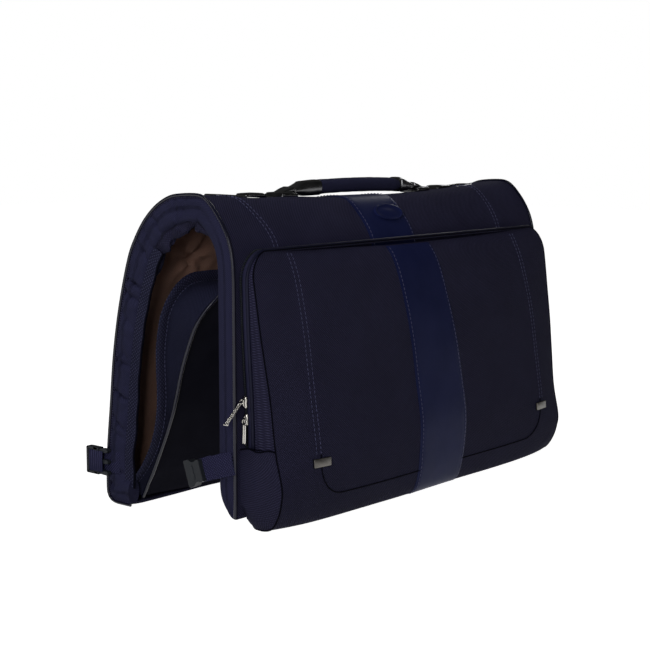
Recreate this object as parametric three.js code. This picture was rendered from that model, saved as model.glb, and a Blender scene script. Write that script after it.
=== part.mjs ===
// Bi-fold garment bag, unbuckled and standing half folded as an A-frame.
// Millimetres, +Z up, front pocket towards -Y, the fold across the top, x = 0 at the bag's centre.
import * as THREE from "three";
import { mergeVertices } from "three/addons/utils/BufferGeometryUtils.js";

// ---- driving dimensions -------------------------------------------------------------------
const HALF_WIDTH = 280;
const SHELL_THICKNESS = 3;
const GAP = 0.4;

// The outer shell runs up the front, over a round fold and down the leaning back half.
const ARCH_Z = 265;
const ARCH_RADIUS = 78.5;
const BACK_LEAN = THREE.MathUtils.degToRad(8.8);
const FRONT_BOTTOM_Z = 10.5;
const BACK_LEG = 249.8;
const BACK_FOOT = 26.6;
const TOP_SAG = 12;

const BAND_WIDTH = 3.5;
const BAND_DEPTH = 20;
const FOLD_GAP = 0.6;
const BAND_FOLD_GAP = 1.4;
const SPINE_SEGMENTS = ["front", "mid", "back"];
const FRONT_FOLD_ANGLE = THREE.MathUtils.degToRad(159);

const STRIP_HALF_WIDTH = 44;
const STRIP_THICKNESS = 1;

const POCKET_SPLIT_Z = 85;
const POCKET_TOP_Z = 290;
const POCKET_CORNER = 35;
const POCKET_WALL = 2.5;
const POCKET_STATIONS = [
  { z: 0, half: 262, seam: -108, middle: -108 },
  { z: 10, half: 260, seam: -113, middle: -118 },
  { z: 27, half: 257, seam: -119, middle: -129 },
  { z: 45, half: 257, seam: -123, middle: -135 },
  { z: 75, half: 259.5, seam: -122, middle: -137 },
  { z: 133, half: 264, seam: -116, middle: -130 },
  { z: 205, half: 269.5, seam: -106, middle: -120 },
  { z: 250, half: 271.5, seam: -98, middle: -105 },
  { z: 290, half: 272, seam: -90, middle: -90 },
];

const COVER_FOOT = { y: 80, z: 6 };
const COVER_TILT = THREE.MathUtils.degToRad(10.6);
const COVER_HEIGHT = 256;
const COVER_HALF_WIDTH = 275;
const COVER_CORNER = 50;
const WEDGE_HALF_WIDTH = 262;
const WEDGE_PROFILE = [
  { z: 12, y: 70 },
  { z: 40, y: 50 },
  { z: 74, y: 33 },
  { z: 113, y: 17 },
  { z: 150, y: 1 },
  { z: 192, y: -22 },
  { z: 230, y: -35 },
  { z: 245, y: -43 },
];

const HANDLE = { grip: 85, capEnd: 110.6, bracketStart: 111.4, bracketEnd: 137, y: -3, top: 353 };
const STRAP_BASE = { start: 158, end: 187 };
const RING = { pivot: 190, end: 236, halfDepth: 14, bar: 4, thickness: 3, z: 342.8 };

const WEBBING_OUT = { near: 0.5, far: 2 };
const BUCKLE_OUT = { near: 2.5, far: 12.5 };

// ---- looks --------------------------------------------------------------------------------
const LOOKS = {
  nylon: { color: 0x171c2b, roughness: 0.85, metalness: 0 },
  band: { color: 0x1c2440, roughness: 0.7, metalness: 0 },
  lining: { color: 0x3a2318, roughness: 0.5, metalness: 0 },
  leather: { color: 0x232d4d, roughness: 0.45, metalness: 0 },
  plastic: { color: 0x15161a, roughness: 0.45, metalness: 0 },
  webbing: { color: 0x161b2c, roughness: 0.8, metalness: 0 },
  gunmetal: { color: 0x3c3d44, roughness: 0.3, metalness: 0.9 },
  nickel: { color: 0x9a9690, roughness: 0.3, metalness: 0.9 },
};

// ---- helpers ------------------------------------------------------------------------------
const bag = new THREE.Group();
bag.name = "garment_bag";

function steps(from, to, count) {
  return Array.from({ length: count + 1 }, (_, i) => from + ((to - from) * i) / count);
}

function interpolate(stations, z, key) {
  const last = stations.length - 1;
  const upper = Math.max(1, stations.findIndex((station, i) => i === last || station.z >= z));
  const a = stations[upper - 1];
  const b = stations[upper];
  return THREE.MathUtils.lerp(a[key], b[key], (z - a.z) / (b.z - a.z));
}

function signedVolume(geometry) {
  const p = geometry.attributes.position;
  const index = geometry.index;
  const corners = [new THREE.Vector3(), new THREE.Vector3(), new THREE.Vector3()];
  let volume = 0;
  for (let i = 0; i < index.count; i += 3) {
    corners.forEach((corner, k) => corner.fromBufferAttribute(p, index.getX(i + k)));
    volume += corners[0].dot(corners[1].clone().cross(corners[2])) / 6;
  }
  return volume;
}

function closed(geometry) {
  geometry.deleteAttribute("normal");
  geometry.deleteAttribute("uv");
  const merged = mergeVertices(geometry, 1e-4);
  if (signedVolume(merged) < 0) {
    const index = merged.index;
    for (let i = 0; i < index.count; i += 3) {
      const first = index.getX(i);
      index.setX(i, index.getX(i + 1));
      index.setX(i + 1, first);
    }
  }
  merged.computeVertexNormals();
  return merged;
}

function mapped(geometry, place) {
  const position = geometry.attributes.position;
  for (let i = 0; i < position.count; i += 1) {
    position.setXYZ(i, ...place(position.getX(i), position.getY(i), position.getZ(i)));
  }
  return closed(geometry);
}

// A block whose three grid directions take the listed stops, each grid point put where `place` says.
function bentBlock(us, vs, ws, place) {
  const counts = [us.length - 1, vs.length - 1, ws.length - 1];
  const stop = (stops, value) => stops[Math.round((value + 0.5) * (stops.length - 1))];
  const box = new THREE.BoxGeometry(1, 1, 1, ...counts);
  return mapped(box, (a, b, c) => place(stop(us, a), stop(vs, b), stop(ws, c)));
}

function block(x, y, z) {
  return bentBlock(x, y, z, (a, b, c) => [a, b, c]);
}

function add(name, geometry, look) {
  const mesh = new THREE.Mesh(geometry, new THREE.MeshStandardMaterial(LOOKS[look]));
  mesh.name = name;
  bag.add(mesh);
}

// Makes a left piece at -x and its mirror image at +x.
function addPair(name, build, look) {
  add(`${name}_L`, build(-1), look);
  add(`${name}_R`, build(1), look);
}

// ---- the shell's path ---------------------------------------------------------------------
const FRONT_LEG = ARCH_Z - FRONT_BOTTOM_Z;
const ARC_LENGTH = ARCH_RADIUS * (Math.PI - BACK_LEAN);
const FOOT_START = FRONT_LEG + ARC_LENGTH + BACK_LEG;
const SHELL_END = FOOT_START + BACK_FOOT;

function arcStop(angle) {
  return FRONT_LEG + ARCH_RADIUS * (Math.PI - angle);
}

function shellPoint(s) {
  if (s <= FRONT_LEG) {
    return { y: -ARCH_RADIUS, z: FRONT_BOTTOM_Z + s, ny: -1, nz: 0 };
  }
  const angle = Math.max(BACK_LEAN, Math.PI - (s - FRONT_LEG) / ARCH_RADIUS);
  const ny = Math.cos(angle);
  const nz = Math.sin(angle);
  const leg = THREE.MathUtils.clamp(s - FRONT_LEG - ARC_LENGTH, 0, BACK_LEG);
  const foot = Math.max(0, s - FOOT_START);
  return {
    y: ARCH_RADIUS * ny + leg * Math.sin(BACK_LEAN),
    z: ARCH_Z + ARCH_RADIUS * nz - leg * Math.cos(BACK_LEAN) - foot,
    ny: foot > 0 ? 1 : ny,
    nz: foot > 0 ? 0 : nz,
  };
}

// The top sags a little between the bag's two ends.
function sag(x) {
  return TOP_SAG * (1 - (x / HALF_WIDTH) ** 2);
}

function settle(x, z) {
  return z - sag(x) * THREE.MathUtils.smoothstep(z, 235, 335);
}

function topZ(x) {
  return ARCH_Z + ARCH_RADIUS - sag(x);
}

// x across the bag, s along the shell, depth inwards from its outer face.
function shellPlate(xs, ss, depths) {
  return bentBlock(xs, ss, depths, (x, s, depth) => {
    const at = shellPoint(s);
    return [x, at.y - at.ny * depth, settle(x, at.z - at.nz * depth)];
  });
}

const ACROSS = steps(-HALF_WIDTH, HALF_WIDTH, 8);
const foldStops = steps(FRONT_FOLD_ANGLE, BACK_LEAN, SPINE_SEGMENTS.length).map(arcStop);
const firstFold = foldStops[0];
const lastFold = foldStops[foldStops.length - 1];
const frontRows = [0, 80, 160, 225, FRONT_LEG, firstFold - FOLD_GAP];
const backRows = [lastFold + FOLD_GAP, ...steps(lastFold + 50, FOOT_START, 3), SHELL_END];

function bandAcross(side) {
  return [side * HALF_WIDTH, side * (HALF_WIDTH - BAND_WIDTH)];
}

// ---- front half ---------------------------------------------------------------------------
add("front_shell", shellPlate(ACROSS, frontRows, [0, SHELL_THICKNESS]), "nylon");
add(
  "front_inner_panel",
  block([-276, 276], [-58, -56], [14.5, 255]),
  "lining",
);
addPair(
  "front_side_band",
  (side) => {
    const rows = [...frontRows.slice(0, -1), firstFold - BAND_FOLD_GAP];
    return shellPlate(bandAcross(side), rows, [SHELL_THICKNESS + GAP, BAND_DEPTH]);
  },
  "band",
);
add("front_bottom_band", block([-276, 276], [-75, -58.5], [10.5, 14]), "band");

// ---- front pocket -------------------------------------------------------------------------
function pocketHalfWidth(z) {
  const half = interpolate(POCKET_STATIONS, z, "half");
  const rise = Math.max(0, z - (POCKET_TOP_Z - POCKET_CORNER));
  return half - POCKET_CORNER + Math.sqrt(Math.max(0, POCKET_CORNER ** 2 - rise ** 2));
}

// The padded front panel: u runs -1 to 1 across, depth runs inwards from its face.
function pocketPoint(u, z, depth) {
  const seam = interpolate(POCKET_STATIONS, z, "seam");
  const middle = interpolate(POCKET_STATIONS, z, "middle");
  const x = u * pocketHalfWidth(z);
  return [x, THREE.MathUtils.lerp(middle, seam, u ** 4) + depth, settle(x, z)];
}

const POCKET_ACROSS = steps(-1, 1, 12);
const STRIP_ACROSS = [-1, 0, 1];
const lowerRows = [2.9, 10, 27, 45, 65, POCKET_SPLIT_Z - 1];
const flapRows = [POCKET_SPLIT_Z + 1, 110, 133, 170, 205, 235, 255, 268, 278, 285, 289, 290];

function pocketStrip(rows) {
  return bentBlock(STRIP_ACROSS, rows, [-GAP - STRIP_THICKNESS, -GAP], (u, z, depth) =>
    pocketPoint((u * STRIP_HALF_WIDTH) / pocketHalfWidth(z), z, depth));
}

add("pocket_lower_front", bentBlock(POCKET_ACROSS, lowerRows, [0, POCKET_WALL], pocketPoint), "nylon");
add("flap_panel", bentBlock(POCKET_ACROSS, flapRows, [0, POCKET_WALL], pocketPoint), "nylon");
add("pocket_strip_lower", pocketStrip(lowerRows), "leather");
add("flap_strip", pocketStrip(flapRows.slice(0, 8)), "leather");

addPair(
  "pocket_lower_gusset",
  (side) =>
    bentBlock(lowerRows, [0, 1], [0, POCKET_WALL], (z, rear, inwards) => {
      const seam = interpolate(POCKET_STATIONS, z, "seam") + POCKET_WALL + GAP;
      return [side * (pocketHalfWidth(z) - inwards), rear ? -79 : seam, z];
    }),
  "nylon",
);

const pocketFloor = new THREE.Shape(
  [
    [-107, 0],
    [-86, 0],
    [-79.2, 6],
    [-79.2, 9.8],
    [-87, 2.5],
    [-107, 2.5],
  ].map(([y, z]) => new THREE.Vector2(y, z)),
);
add(
  "pocket_bottom",
  mapped(
    new THREE.ExtrudeGeometry(pocketFloor, { depth: 508, bevelEnabled: false }),
    (y, z, x) => [x - 254, y, z],
  ),
  "nylon",
);

// The pocket's outline above the split: up the left side, round the top and down the right.
function pocketOutline() {
  const rise = flapRows.map((z) => [-pocketHalfWidth(z), z]);
  const fall = rise.map(([x, z]) => [-x, z]).reverse();
  return [...rise, ...fall].map(([x, z], i, all) => {
    const before = all[Math.max(0, i - 1)];
    const after = all[Math.min(all.length - 1, i + 1)];
    const along = new THREE.Vector2(after[0] - before[0], after[1] - before[1]).normalize();
    return { x, z, inX: along.y, inZ: -along.x };
  });
}

const outline = pocketOutline();

function outlineBand(frontY, rearY, wall) {
  return bentBlock(steps(0, outline.length - 1, outline.length - 1), [0, 1], [0, wall], (i, rear, inwards) => {
    const at = outline[i];
    const x = at.x + at.inX * inwards;
    return [x, rear ? rearY : frontY(at.z), settle(x, at.z + at.inZ * inwards)];
  });
}

add(
  "flap_gusset",
  outlineBand((z) => interpolate(POCKET_STATIONS, z, "seam") + POCKET_WALL + GAP, -82, POCKET_WALL),
  "nylon",
);
add("pocket_zipper", outlineBand(() => -81.6, -78.9, 4), "band");

addPair(
  "pocket_tab",
  (side) =>
    bentBlock(steps(198, 222, 2), [63, 73], [-2.2, -0.6], (x, z, depth) =>
      pocketPoint((side * x) / pocketHalfWidth(z), z, depth)),
  "nickel",
);

// ---- zip sliders and pulls on the pocket's left run ------------------------------------------
const ZIP_LEAN = 9 / 114;

function zipX(z) {
  return -260.5 - (z - 91) * ZIP_LEAN;
}

// A piece beside the zip: `out` is measured outwards from the chain, rows follow the chain's lean.
function besideZip(outs, ys, zs) {
  return bentBlock(outs, ys, zs, (out, y, z) => [zipX(z) - 1 - out, y, z]);
}

function pullFrame(length, halfWidth, bar, thickness) {
  const frame = new THREE.Shape();
  frame.moveTo(-halfWidth, 0);
  frame.lineTo(halfWidth, 0);
  frame.lineTo(halfWidth * 0.8, -length);
  frame.lineTo(-halfWidth * 0.8, -length);
  const hole = new THREE.Path();
  hole.moveTo(-halfWidth + bar, -bar);
  hole.lineTo(-halfWidth * 0.8 + bar, -length + bar);
  hole.lineTo(halfWidth * 0.8 - bar, -length + bar);
  hole.lineTo(halfWidth - bar, -bar);
  frame.holes.push(hole);
  return new THREE.ExtrudeGeometry(frame, { depth: thickness, bevelEnabled: false });
}

// Hangs a pull from the chain at height z, swung outwards by `swing` degrees.
function hangingPull(z, length, swing) {
  const angle = THREE.MathUtils.degToRad(swing);
  const pivotX = zipX(z) - 8;
  return mapped(pullFrame(length, 4, 1.4, 1.6), (y, down, out) => [
    pivotX + down * Math.sin(angle) - out * Math.cos(angle),
    y - 83.5,
    z + down * Math.cos(angle) + out * Math.sin(angle),
  ]);
}

add("zip_slider_upper", besideZip([0.5, 6], [-85.5, -79.5], [127, 139]), "nickel");
add("zip_pull_upper", hangingPull(136, 24, 50), "nickel");
add("zip_slider_lower", besideZip([0.5, 6], [-85.5, -79.5], [109, 121]), "nickel");
add("zip_pull_lower", hangingPull(117, 27, 2), "nickel");

// ---- spine ----------------------------------------------------------------------------------
SPINE_SEGMENTS.forEach((segment, i) => {
  const from = foldStops[i];
  const to = foldStops[i + 1];
  const rows = steps(from + FOLD_GAP, to - FOLD_GAP, 5);
  add(`spine_${segment}_panel`, shellPlate(ACROSS, rows, [0, SHELL_THICKNESS]), "nylon");
  addPair(
    `spine_${segment}_band`,
    (side) => {
      const bandRows = steps(from + BAND_FOLD_GAP, to - BAND_FOLD_GAP, 4);
      return shellPlate(bandAcross(side), bandRows, [SHELL_THICKNESS + GAP, BAND_DEPTH]);
    },
    "band",
  );
});

function spineStrip(i) {
  const rows = steps(foldStops[i] + 3, foldStops[i + 1] - 3, 5);
  const across = steps(-STRIP_HALF_WIDTH, STRIP_HALF_WIDTH, 2);
  return shellPlate(across, rows, [-0.6 - STRIP_THICKNESS, -0.6]);
}

add("spine_front_strip", spineStrip(0), "leather");
add("spine_mid_strip", spineStrip(1), "leather");

const badgeStop = arcStop(THREE.MathUtils.degToRad(135));
add(
  "badge",
  mapped(new THREE.CylinderGeometry(1, 1, 1, 24, 1), (a, b, c) => {
    const x = 31 * a;
    const at = shellPoint(badgeStop + 13.5 * c);
    const depth = -3.1 - b * 1.6;
    return [x, at.y - at.ny * depth, settle(x, at.z - at.nz * depth)];
  }),
  "nickel",
);

// ---- carry handle and strap anchors on the middle spine segment --------------------------------
function archedHeight(x) {
  return 2 * (1 - (x / HANDLE.grip) ** 2);
}

add(
  "handle_grip",
  mapped(new THREE.CylinderGeometry(1, 1, 2, 14, 8), (a, b, c) => {
    const x = b * HANDLE.grip;
    return [x, HANDLE.y + 11 * a, HANDLE.top - 10.5 + archedHeight(x) + 8.5 * c];
  }),
  "leather",
);
addPair(
  "handle_cap",
  (side) =>
    bentBlock([0, 0.3, 1], [-1, 1], [-1, 1], (u, v, w) => {
      const x = THREE.MathUtils.lerp(HANDLE.grip + 0.4, HANDLE.capEnd, u);
      const centre = THREE.MathUtils.lerp(HANDLE.top - 10.5, HANDLE.top - 12.5, u);
      return [side * x, HANDLE.y + v * 11.5, centre + w * THREE.MathUtils.lerp(8.5, 3, u)];
    }),
  "gunmetal",
);

// A low block on the spine: x runs outwards, with its own height at each stop.
function topFitting(side, profile, halfDepth) {
  return bentBlock(steps(0, profile.length - 1, profile.length - 1), [-1, 1], [0, 1], (i, v, w) => {
    const { x, height } = profile[i];
    return [side * x, HANDLE.y + v * halfDepth, topZ(x) + 0.5 + w * height];
  });
}

addPair(
  "handle_bracket",
  (side) =>
    topFitting(
      side,
      [
        { x: HANDLE.bracketStart, height: 9 },
        { x: 117, height: 11 },
        { x: 131, height: 10 },
        { x: HANDLE.bracketEnd, height: 4 },
      ],
      15,
    ),
  "gunmetal",
);
addPair(
  "strap_base",
  (side) =>
    topFitting(
      side,
      [
        { x: STRAP_BASE.start, height: 4 },
        { x: 163, height: 8 },
        { x: 178, height: 7 },
        { x: STRAP_BASE.end, height: 6 },
      ],
      11,
    ),
  "gunmetal",
);

function ringShape(side) {
  const inner = RING.pivot - 2;
  const ring = new THREE.Shape();
  ring.moveTo(inner, -RING.halfDepth);
  ring.lineTo(RING.end - 8, -RING.halfDepth);
  ring.lineTo(RING.end, -RING.halfDepth + 8);
  ring.lineTo(RING.end, RING.halfDepth - 8);
  ring.lineTo(RING.end - 8, RING.halfDepth);
  ring.lineTo(inner, RING.halfDepth);
  const hole = new THREE.Path();
  hole.moveTo(inner + RING.bar, -RING.halfDepth + RING.bar);
  hole.lineTo(inner + RING.bar, RING.halfDepth - RING.bar);
  hole.lineTo(RING.end - 9, RING.halfDepth - RING.bar);
  hole.lineTo(RING.end - RING.bar, RING.halfDepth - 9);
  hole.lineTo(RING.end - RING.bar, -RING.halfDepth + 9);
  hole.lineTo(RING.end - 9, -RING.halfDepth + RING.bar);
  ring.holes.push(hole);
  const solid = new THREE.ExtrudeGeometry(ring, { depth: RING.thickness, bevelEnabled: false });
  return mapped(solid, (x, y, z) => [side * x, HANDLE.y + y, RING.z - RING.thickness / 2 + z]);
}

addPair("strap_ring", ringShape, "gunmetal");

// ---- back half --------------------------------------------------------------------------------
add("back_shell", shellPlate(ACROSS, backRows, [0, SHELL_THICKNESS]), "nylon");
add(
  "back_lining",
  shellPlate(
    steps(-276, 276, 4),
    [lastFold + 6, ...backRows.slice(1, -1), SHELL_END - 2],
    [SHELL_THICKNESS + GAP, SHELL_THICKNESS + GAP + 1.2],
  ),
  "lining",
);
addPair(
  "back_gusset",
  (side) => {
    const rows = [lastFold + BAND_FOLD_GAP, ...backRows.slice(1, -1), SHELL_END - 0.5];
    return bentBlock(bandAcross(side), rows, [0, 1], (x, s, inner) => {
      const at = shellPoint(s);
      const progress = (s - lastFold) / (SHELL_END - lastFold);
      const depth = inner ? THREE.MathUtils.lerp(19, 37, progress) : SHELL_THICKNESS + GAP;
      return [x, at.y - at.ny * depth, at.z - at.nz * depth];
    });
  },
  "band",
);
add("back_bottom", block([-HALF_WIDTH, HALF_WIDTH], [79, 115.3], [0, 3]), "nylon");

// Hanger bracket fixed at the hanging end, with a clamp bar that swings open to take the hooks.
add("hanger_bracket", block([-35, 35], [97, 107], [3.5, 30]), "plastic");
add("hanger_clamp", block([-30, 30], [92, 96.5], [8, 30]), "nickel");

// ---- inner cover with its wedge pocket ------------------------------------------------------------
function coverPoint(x, height, out) {
  return [
    x,
    COVER_FOOT.y - height * Math.sin(COVER_TILT) - out * Math.cos(COVER_TILT),
    COVER_FOOT.z + height * Math.cos(COVER_TILT) - out * Math.sin(COVER_TILT),
  ];
}

function coverHalfWidth(height) {
  const rise = Math.max(0, height - (COVER_HEIGHT - COVER_CORNER));
  return COVER_HALF_WIDTH - COVER_CORNER + Math.sqrt(Math.max(0, COVER_CORNER ** 2 - rise ** 2));
}

const coverRows = [0, 70, 140, 206, 226, 240, 249, 254, COVER_HEIGHT];
add(
  "cover_panel",
  bentBlock([-1, 1], coverRows, [0, 2], (u, height, out) =>
    coverPoint(u * coverHalfWidth(height), height, out)),
  "band",
);

const wedgeRows = WEDGE_PROFILE.map((station) => station.z);
add(
  "cover_pocket_face",
  bentBlock([-WEDGE_HALF_WIDTH, WEDGE_HALF_WIDTH], wedgeRows, [0, 2], (x, z, depth) => [
    x,
    interpolate(WEDGE_PROFILE, z, "y") + depth,
    z,
  ]),
  "nylon",
);
addPair(
  "cover_pocket_gusset",
  (side) =>
    bentBlock([259.5, WEDGE_HALF_WIDTH], wedgeRows, [0, 1], (x, z, rear) => {
      const face = interpolate(WEDGE_PROFILE, z, "y") + 2.4;
      const cover = COVER_FOOT.y - (z - COVER_FOOT.z) * Math.tan(COVER_TILT) - 2.6;
      return [side * x, rear ? cover : face, z];
    }),
  "lining",
);

// ---- compression straps with side-release buckles ---------------------------------------------------
function webbing(ys, drop) {
  return (side) =>
    bentBlock([WEBBING_OUT.near, WEBBING_OUT.far], ys, [-12.5, 12.5], (out, y, across) => [
      side * (HALF_WIDTH + out),
      y,
      drop(y) + across,
    ]);
}

addPair("webbing_front", webbing(steps(-77, -30, 3), (y) => 72 - (16 * (y + 77)) / 47), "webbing");
addPair("webbing_back", webbing([93, 136], () => 47), "webbing");

function buckle(outlinePoints) {
  const shape = new THREE.Shape(outlinePoints.map(([y, z]) => new THREE.Vector2(y, z)));
  const depth = BUCKLE_OUT.far - BUCKLE_OUT.near;
  const solid = new THREE.ExtrudeGeometry(shape, { depth, bevelEnabled: false });
  return (side) =>
    mapped(solid.clone(), (y, z, out) => [side * (HALF_WIDTH + BUCKLE_OUT.near + out), y, z]);
}

addPair(
  "buckle_female",
  buckle([
    [-43, 44],
    [-38, 40],
    [-20, 42],
    [-17, 47],
    [-17, 66],
    [-20, 71],
    [-38, 73],
    [-43, 69],
  ]),
  "plastic",
);
addPair(
  "buckle_male",
  buckle([
    [121, 32],
    [138.5, 34],
    [138.5, 60],
    [121, 62],
    [106, 61],
    [104, 57],
    [118, 54],
    [118, 50],
    [106, 49],
    [106, 45],
    [118, 44],
    [118, 40],
    [104, 37],
    [106, 33],
  ]),
  "plastic",
);

export default bag;
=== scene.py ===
"""Looks for the bi-fold garment bag: soft skins, padding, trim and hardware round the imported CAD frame.
Shapes are worked out in millimetres and turned into metres when a mesh is made."""
import bisect
import math

import bmesh
import bpy
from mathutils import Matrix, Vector, noise


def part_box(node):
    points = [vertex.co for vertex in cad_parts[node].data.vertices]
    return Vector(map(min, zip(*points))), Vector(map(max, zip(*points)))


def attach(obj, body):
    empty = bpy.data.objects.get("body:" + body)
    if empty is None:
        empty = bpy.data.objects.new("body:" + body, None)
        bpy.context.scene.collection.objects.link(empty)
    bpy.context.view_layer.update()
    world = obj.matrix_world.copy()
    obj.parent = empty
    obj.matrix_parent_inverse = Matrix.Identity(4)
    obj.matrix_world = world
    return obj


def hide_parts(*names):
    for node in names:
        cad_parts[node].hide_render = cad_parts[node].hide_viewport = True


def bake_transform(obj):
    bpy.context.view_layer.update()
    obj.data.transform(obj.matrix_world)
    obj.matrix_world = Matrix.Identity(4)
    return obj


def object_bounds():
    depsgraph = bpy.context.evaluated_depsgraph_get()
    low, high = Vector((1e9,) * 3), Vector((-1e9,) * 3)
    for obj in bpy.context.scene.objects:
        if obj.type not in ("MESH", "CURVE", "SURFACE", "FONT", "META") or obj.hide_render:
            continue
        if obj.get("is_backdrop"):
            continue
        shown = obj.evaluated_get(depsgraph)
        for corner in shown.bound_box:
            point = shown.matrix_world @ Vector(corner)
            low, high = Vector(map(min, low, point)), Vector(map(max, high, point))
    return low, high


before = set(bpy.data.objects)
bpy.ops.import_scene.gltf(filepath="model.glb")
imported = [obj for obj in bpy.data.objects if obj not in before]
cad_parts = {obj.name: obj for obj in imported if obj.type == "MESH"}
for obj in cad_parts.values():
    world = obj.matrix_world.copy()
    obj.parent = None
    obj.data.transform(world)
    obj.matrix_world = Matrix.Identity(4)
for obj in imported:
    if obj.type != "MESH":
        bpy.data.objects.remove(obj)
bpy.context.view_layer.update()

MM = 0.001


def box_mm(node):
    low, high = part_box(node)
    return Vector(low) / MM, Vector(high) / MM


# ---- sizes taken from the CAD frame -------------------------------------------------------------
HALF_WIDTH = box_mm("front_shell")[1].x
ARCH_RADIUS = -box_mm("front_shell")[0].y
ARCH_Z = box_mm("spine_mid_panel")[1].z - ARCH_RADIUS
BACK_LEAN = math.radians(8.8)
TOP_SAG = 12.0
LEFT_DIP = 2.4
FRONT_FOLD_ANGLE = 159.0

STRIP_HALF = 41.0
STRIP_CENTRE = -13.0
STITCH_LINE_X = 212.0

# ---- mesh helpers -------------------------------------------------------------------------------


def lerp(a, b, t):
    return a + (b - a) * t


def smooth(a, b, t):
    t = min(1.0, max(0.0, (t - a) / (b - a)))
    return t * t * (3 - 2 * t)


def steps(start, end, count):
    return [lerp(start, end, i / count) for i in range(count + 1)]


def catmull(points, t):
    """A smooth curve through a list of tuples, t from 0 to len - 1."""
    last = len(points) - 1
    i = min(last - 1, max(0, int(t)))
    f = t - i
    p0 = points[max(0, i - 1)]
    p1, p2 = points[i], points[i + 1]
    p3 = points[min(last, i + 2)]
    return [
        0.5 * (2 * b + (c - a) * f + (2 * a - 5 * b + 4 * c - d) * f * f + (3 * b - a - 3 * c + d) * f ** 3)
        for a, b, c, d in zip(p0, p1, p2, p3)
    ]


def ripple(x, y, z=0.0):
    """Smooth seeded noise, about -1 to 1, whose features are about one unit wide."""
    return noise.noise(Vector((x, y, z))) * 1.8


class Build:
    """Collects points in millimetres, faces and UVs in metres, and makes one mesh object."""

    def __init__(self):
        self.points = []
        self.faces = []
        self.uvs = []

    def add(self, points, faces, uvs=None):
        base = len(self.points)
        self.points.extend(points)
        self.faces.extend([tuple(base + i for i in face) for face in faces])
        uvs = uvs or [(0.0, 0.0)] * len(points)
        self.uvs.extend(uvs)

    def make(self, name, material, smooth_angle=50):
        mesh = bpy.data.meshes.new(name)
        mesh.from_pydata([Vector(p) * MM for p in self.points], [], self.faces)
        layer = mesh.uv_layers.new(name="UVMap")
        for loop in mesh.loops:
            layer.data[loop.index].uv = self.uvs[loop.vertex_index]
        mesh.materials.append(material)
        work = bmesh.new()
        work.from_mesh(mesh)
        bmesh.ops.recalc_face_normals(work, faces=work.faces)
        for edge in work.edges:
            edge.smooth = len(edge.link_faces) == 2 and edge.calc_face_angle(0) < math.radians(smooth_angle)
        work.to_mesh(mesh)
        work.free()
        mesh.polygons.foreach_set("use_smooth", [True] * len(mesh.polygons))
        made = bpy.data.objects.new(name, mesh)
        bpy.context.scene.collection.objects.link(made)
        return made


def grid_normals(rows):
    count_v, count_u = len(rows), len(rows[0])
    normals = []
    for j in range(count_v):
        line = []
        for i in range(count_u):
            across = rows[j][min(i + 1, count_u - 1)] - rows[j][max(i - 1, 0)]
            along = rows[min(j + 1, count_v - 1)][i] - rows[max(j - 1, 0)][i]
            line.append(across.cross(along).normalized())
        normals.append(line)
    return normals


def slab(build, rows, thickness, uvs=None):
    """A closed sheet: rows of outer points, given a thickness away from their normals' side."""
    normals = grid_normals(rows)
    count_v, count_u = len(rows), len(rows[0])
    outer = [p for row in rows for p in row]
    inner = [p - n * thickness for row, line in zip(rows, normals) for p, n in zip(row, line)]
    total = len(outer)
    faces = []
    for j in range(count_v - 1):
        for i in range(count_u - 1):
            a = j * count_u + i
            quad = (a, a + 1, a + 1 + count_u, a + count_u)
            faces.append(quad)
            faces.append(tuple(total + k for k in reversed(quad)))
    rim = [i for i in range(count_u)]
    rim += [j * count_u + count_u - 1 for j in range(1, count_v)]
    rim += [(count_v - 1) * count_u + i for i in range(count_u - 2, -1, -1)]
    rim += [j * count_u for j in range(count_v - 2, 0, -1)]
    for a, b in zip(rim, rim[1:] + rim[:1]):
        faces.append((b, a, a + total, b + total))
    if uvs is None:
        along = [0.0]
        for a, b in zip(rows, rows[1:]):
            along.append(along[-1] + (b[count_u // 2] - a[count_u // 2]).length * MM)
        middle = rows[count_v // 2]
        across = [0.0]
        for a, b in zip(middle, middle[1:]):
            across.append(across[-1] + (b - a).length * MM)
        uvs = [(u, v) for v in along for u in across]
    build.add(outer + inner, faces, uvs + uvs)


def loft(build, rings, caps=True):
    """Joins closed rings of equal length into one skin, with flat ends."""
    count = len(rings[0])
    faces = []
    for j in range(len(rings) - 1):
        for i in range(count):
            k = (i + 1) % count
            faces.append((j * count + i, j * count + k, (j + 1) * count + k, (j + 1) * count + i))
    if caps:
        faces.append(tuple(reversed(range(count))))
        faces.append(tuple((len(rings) - 1) * count + i for i in range(count)))
    along = 0.0
    uvs = []
    for j, ring in enumerate(rings):
        if j:
            along += (ring[0] - rings[j - 1][0]).length * MM
        around = 0.0
        for i, p in enumerate(ring):
            if i:
                around += (p - ring[i - 1]).length * MM
            uvs.append((around, along))
    build.add([p for ring in rings for p in ring], faces, uvs)


def tube(build, path, radius, sides=8, squash=1.0):
    """A round bar along a path of vectors."""
    rings = []
    up = None
    for i, p in enumerate(path):
        along = (path[min(i + 1, len(path) - 1)] - path[max(i - 1, 0)]).normalized()
        if up is None:
            up = Vector((0, 0, 1)) if abs(along.z) < 0.8 else Vector((0, 1, 0))
        side = along.cross(up).normalized()
        up = side.cross(along).normalized()
        r = radius(i) if callable(radius) else radius
        rings.append([
            p + side * (r * math.cos(angle)) + up * (r * squash * math.sin(angle))
            for angle in (2 * math.pi * k / sides for k in range(sides))
        ])
    loft(build, rings)


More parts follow.
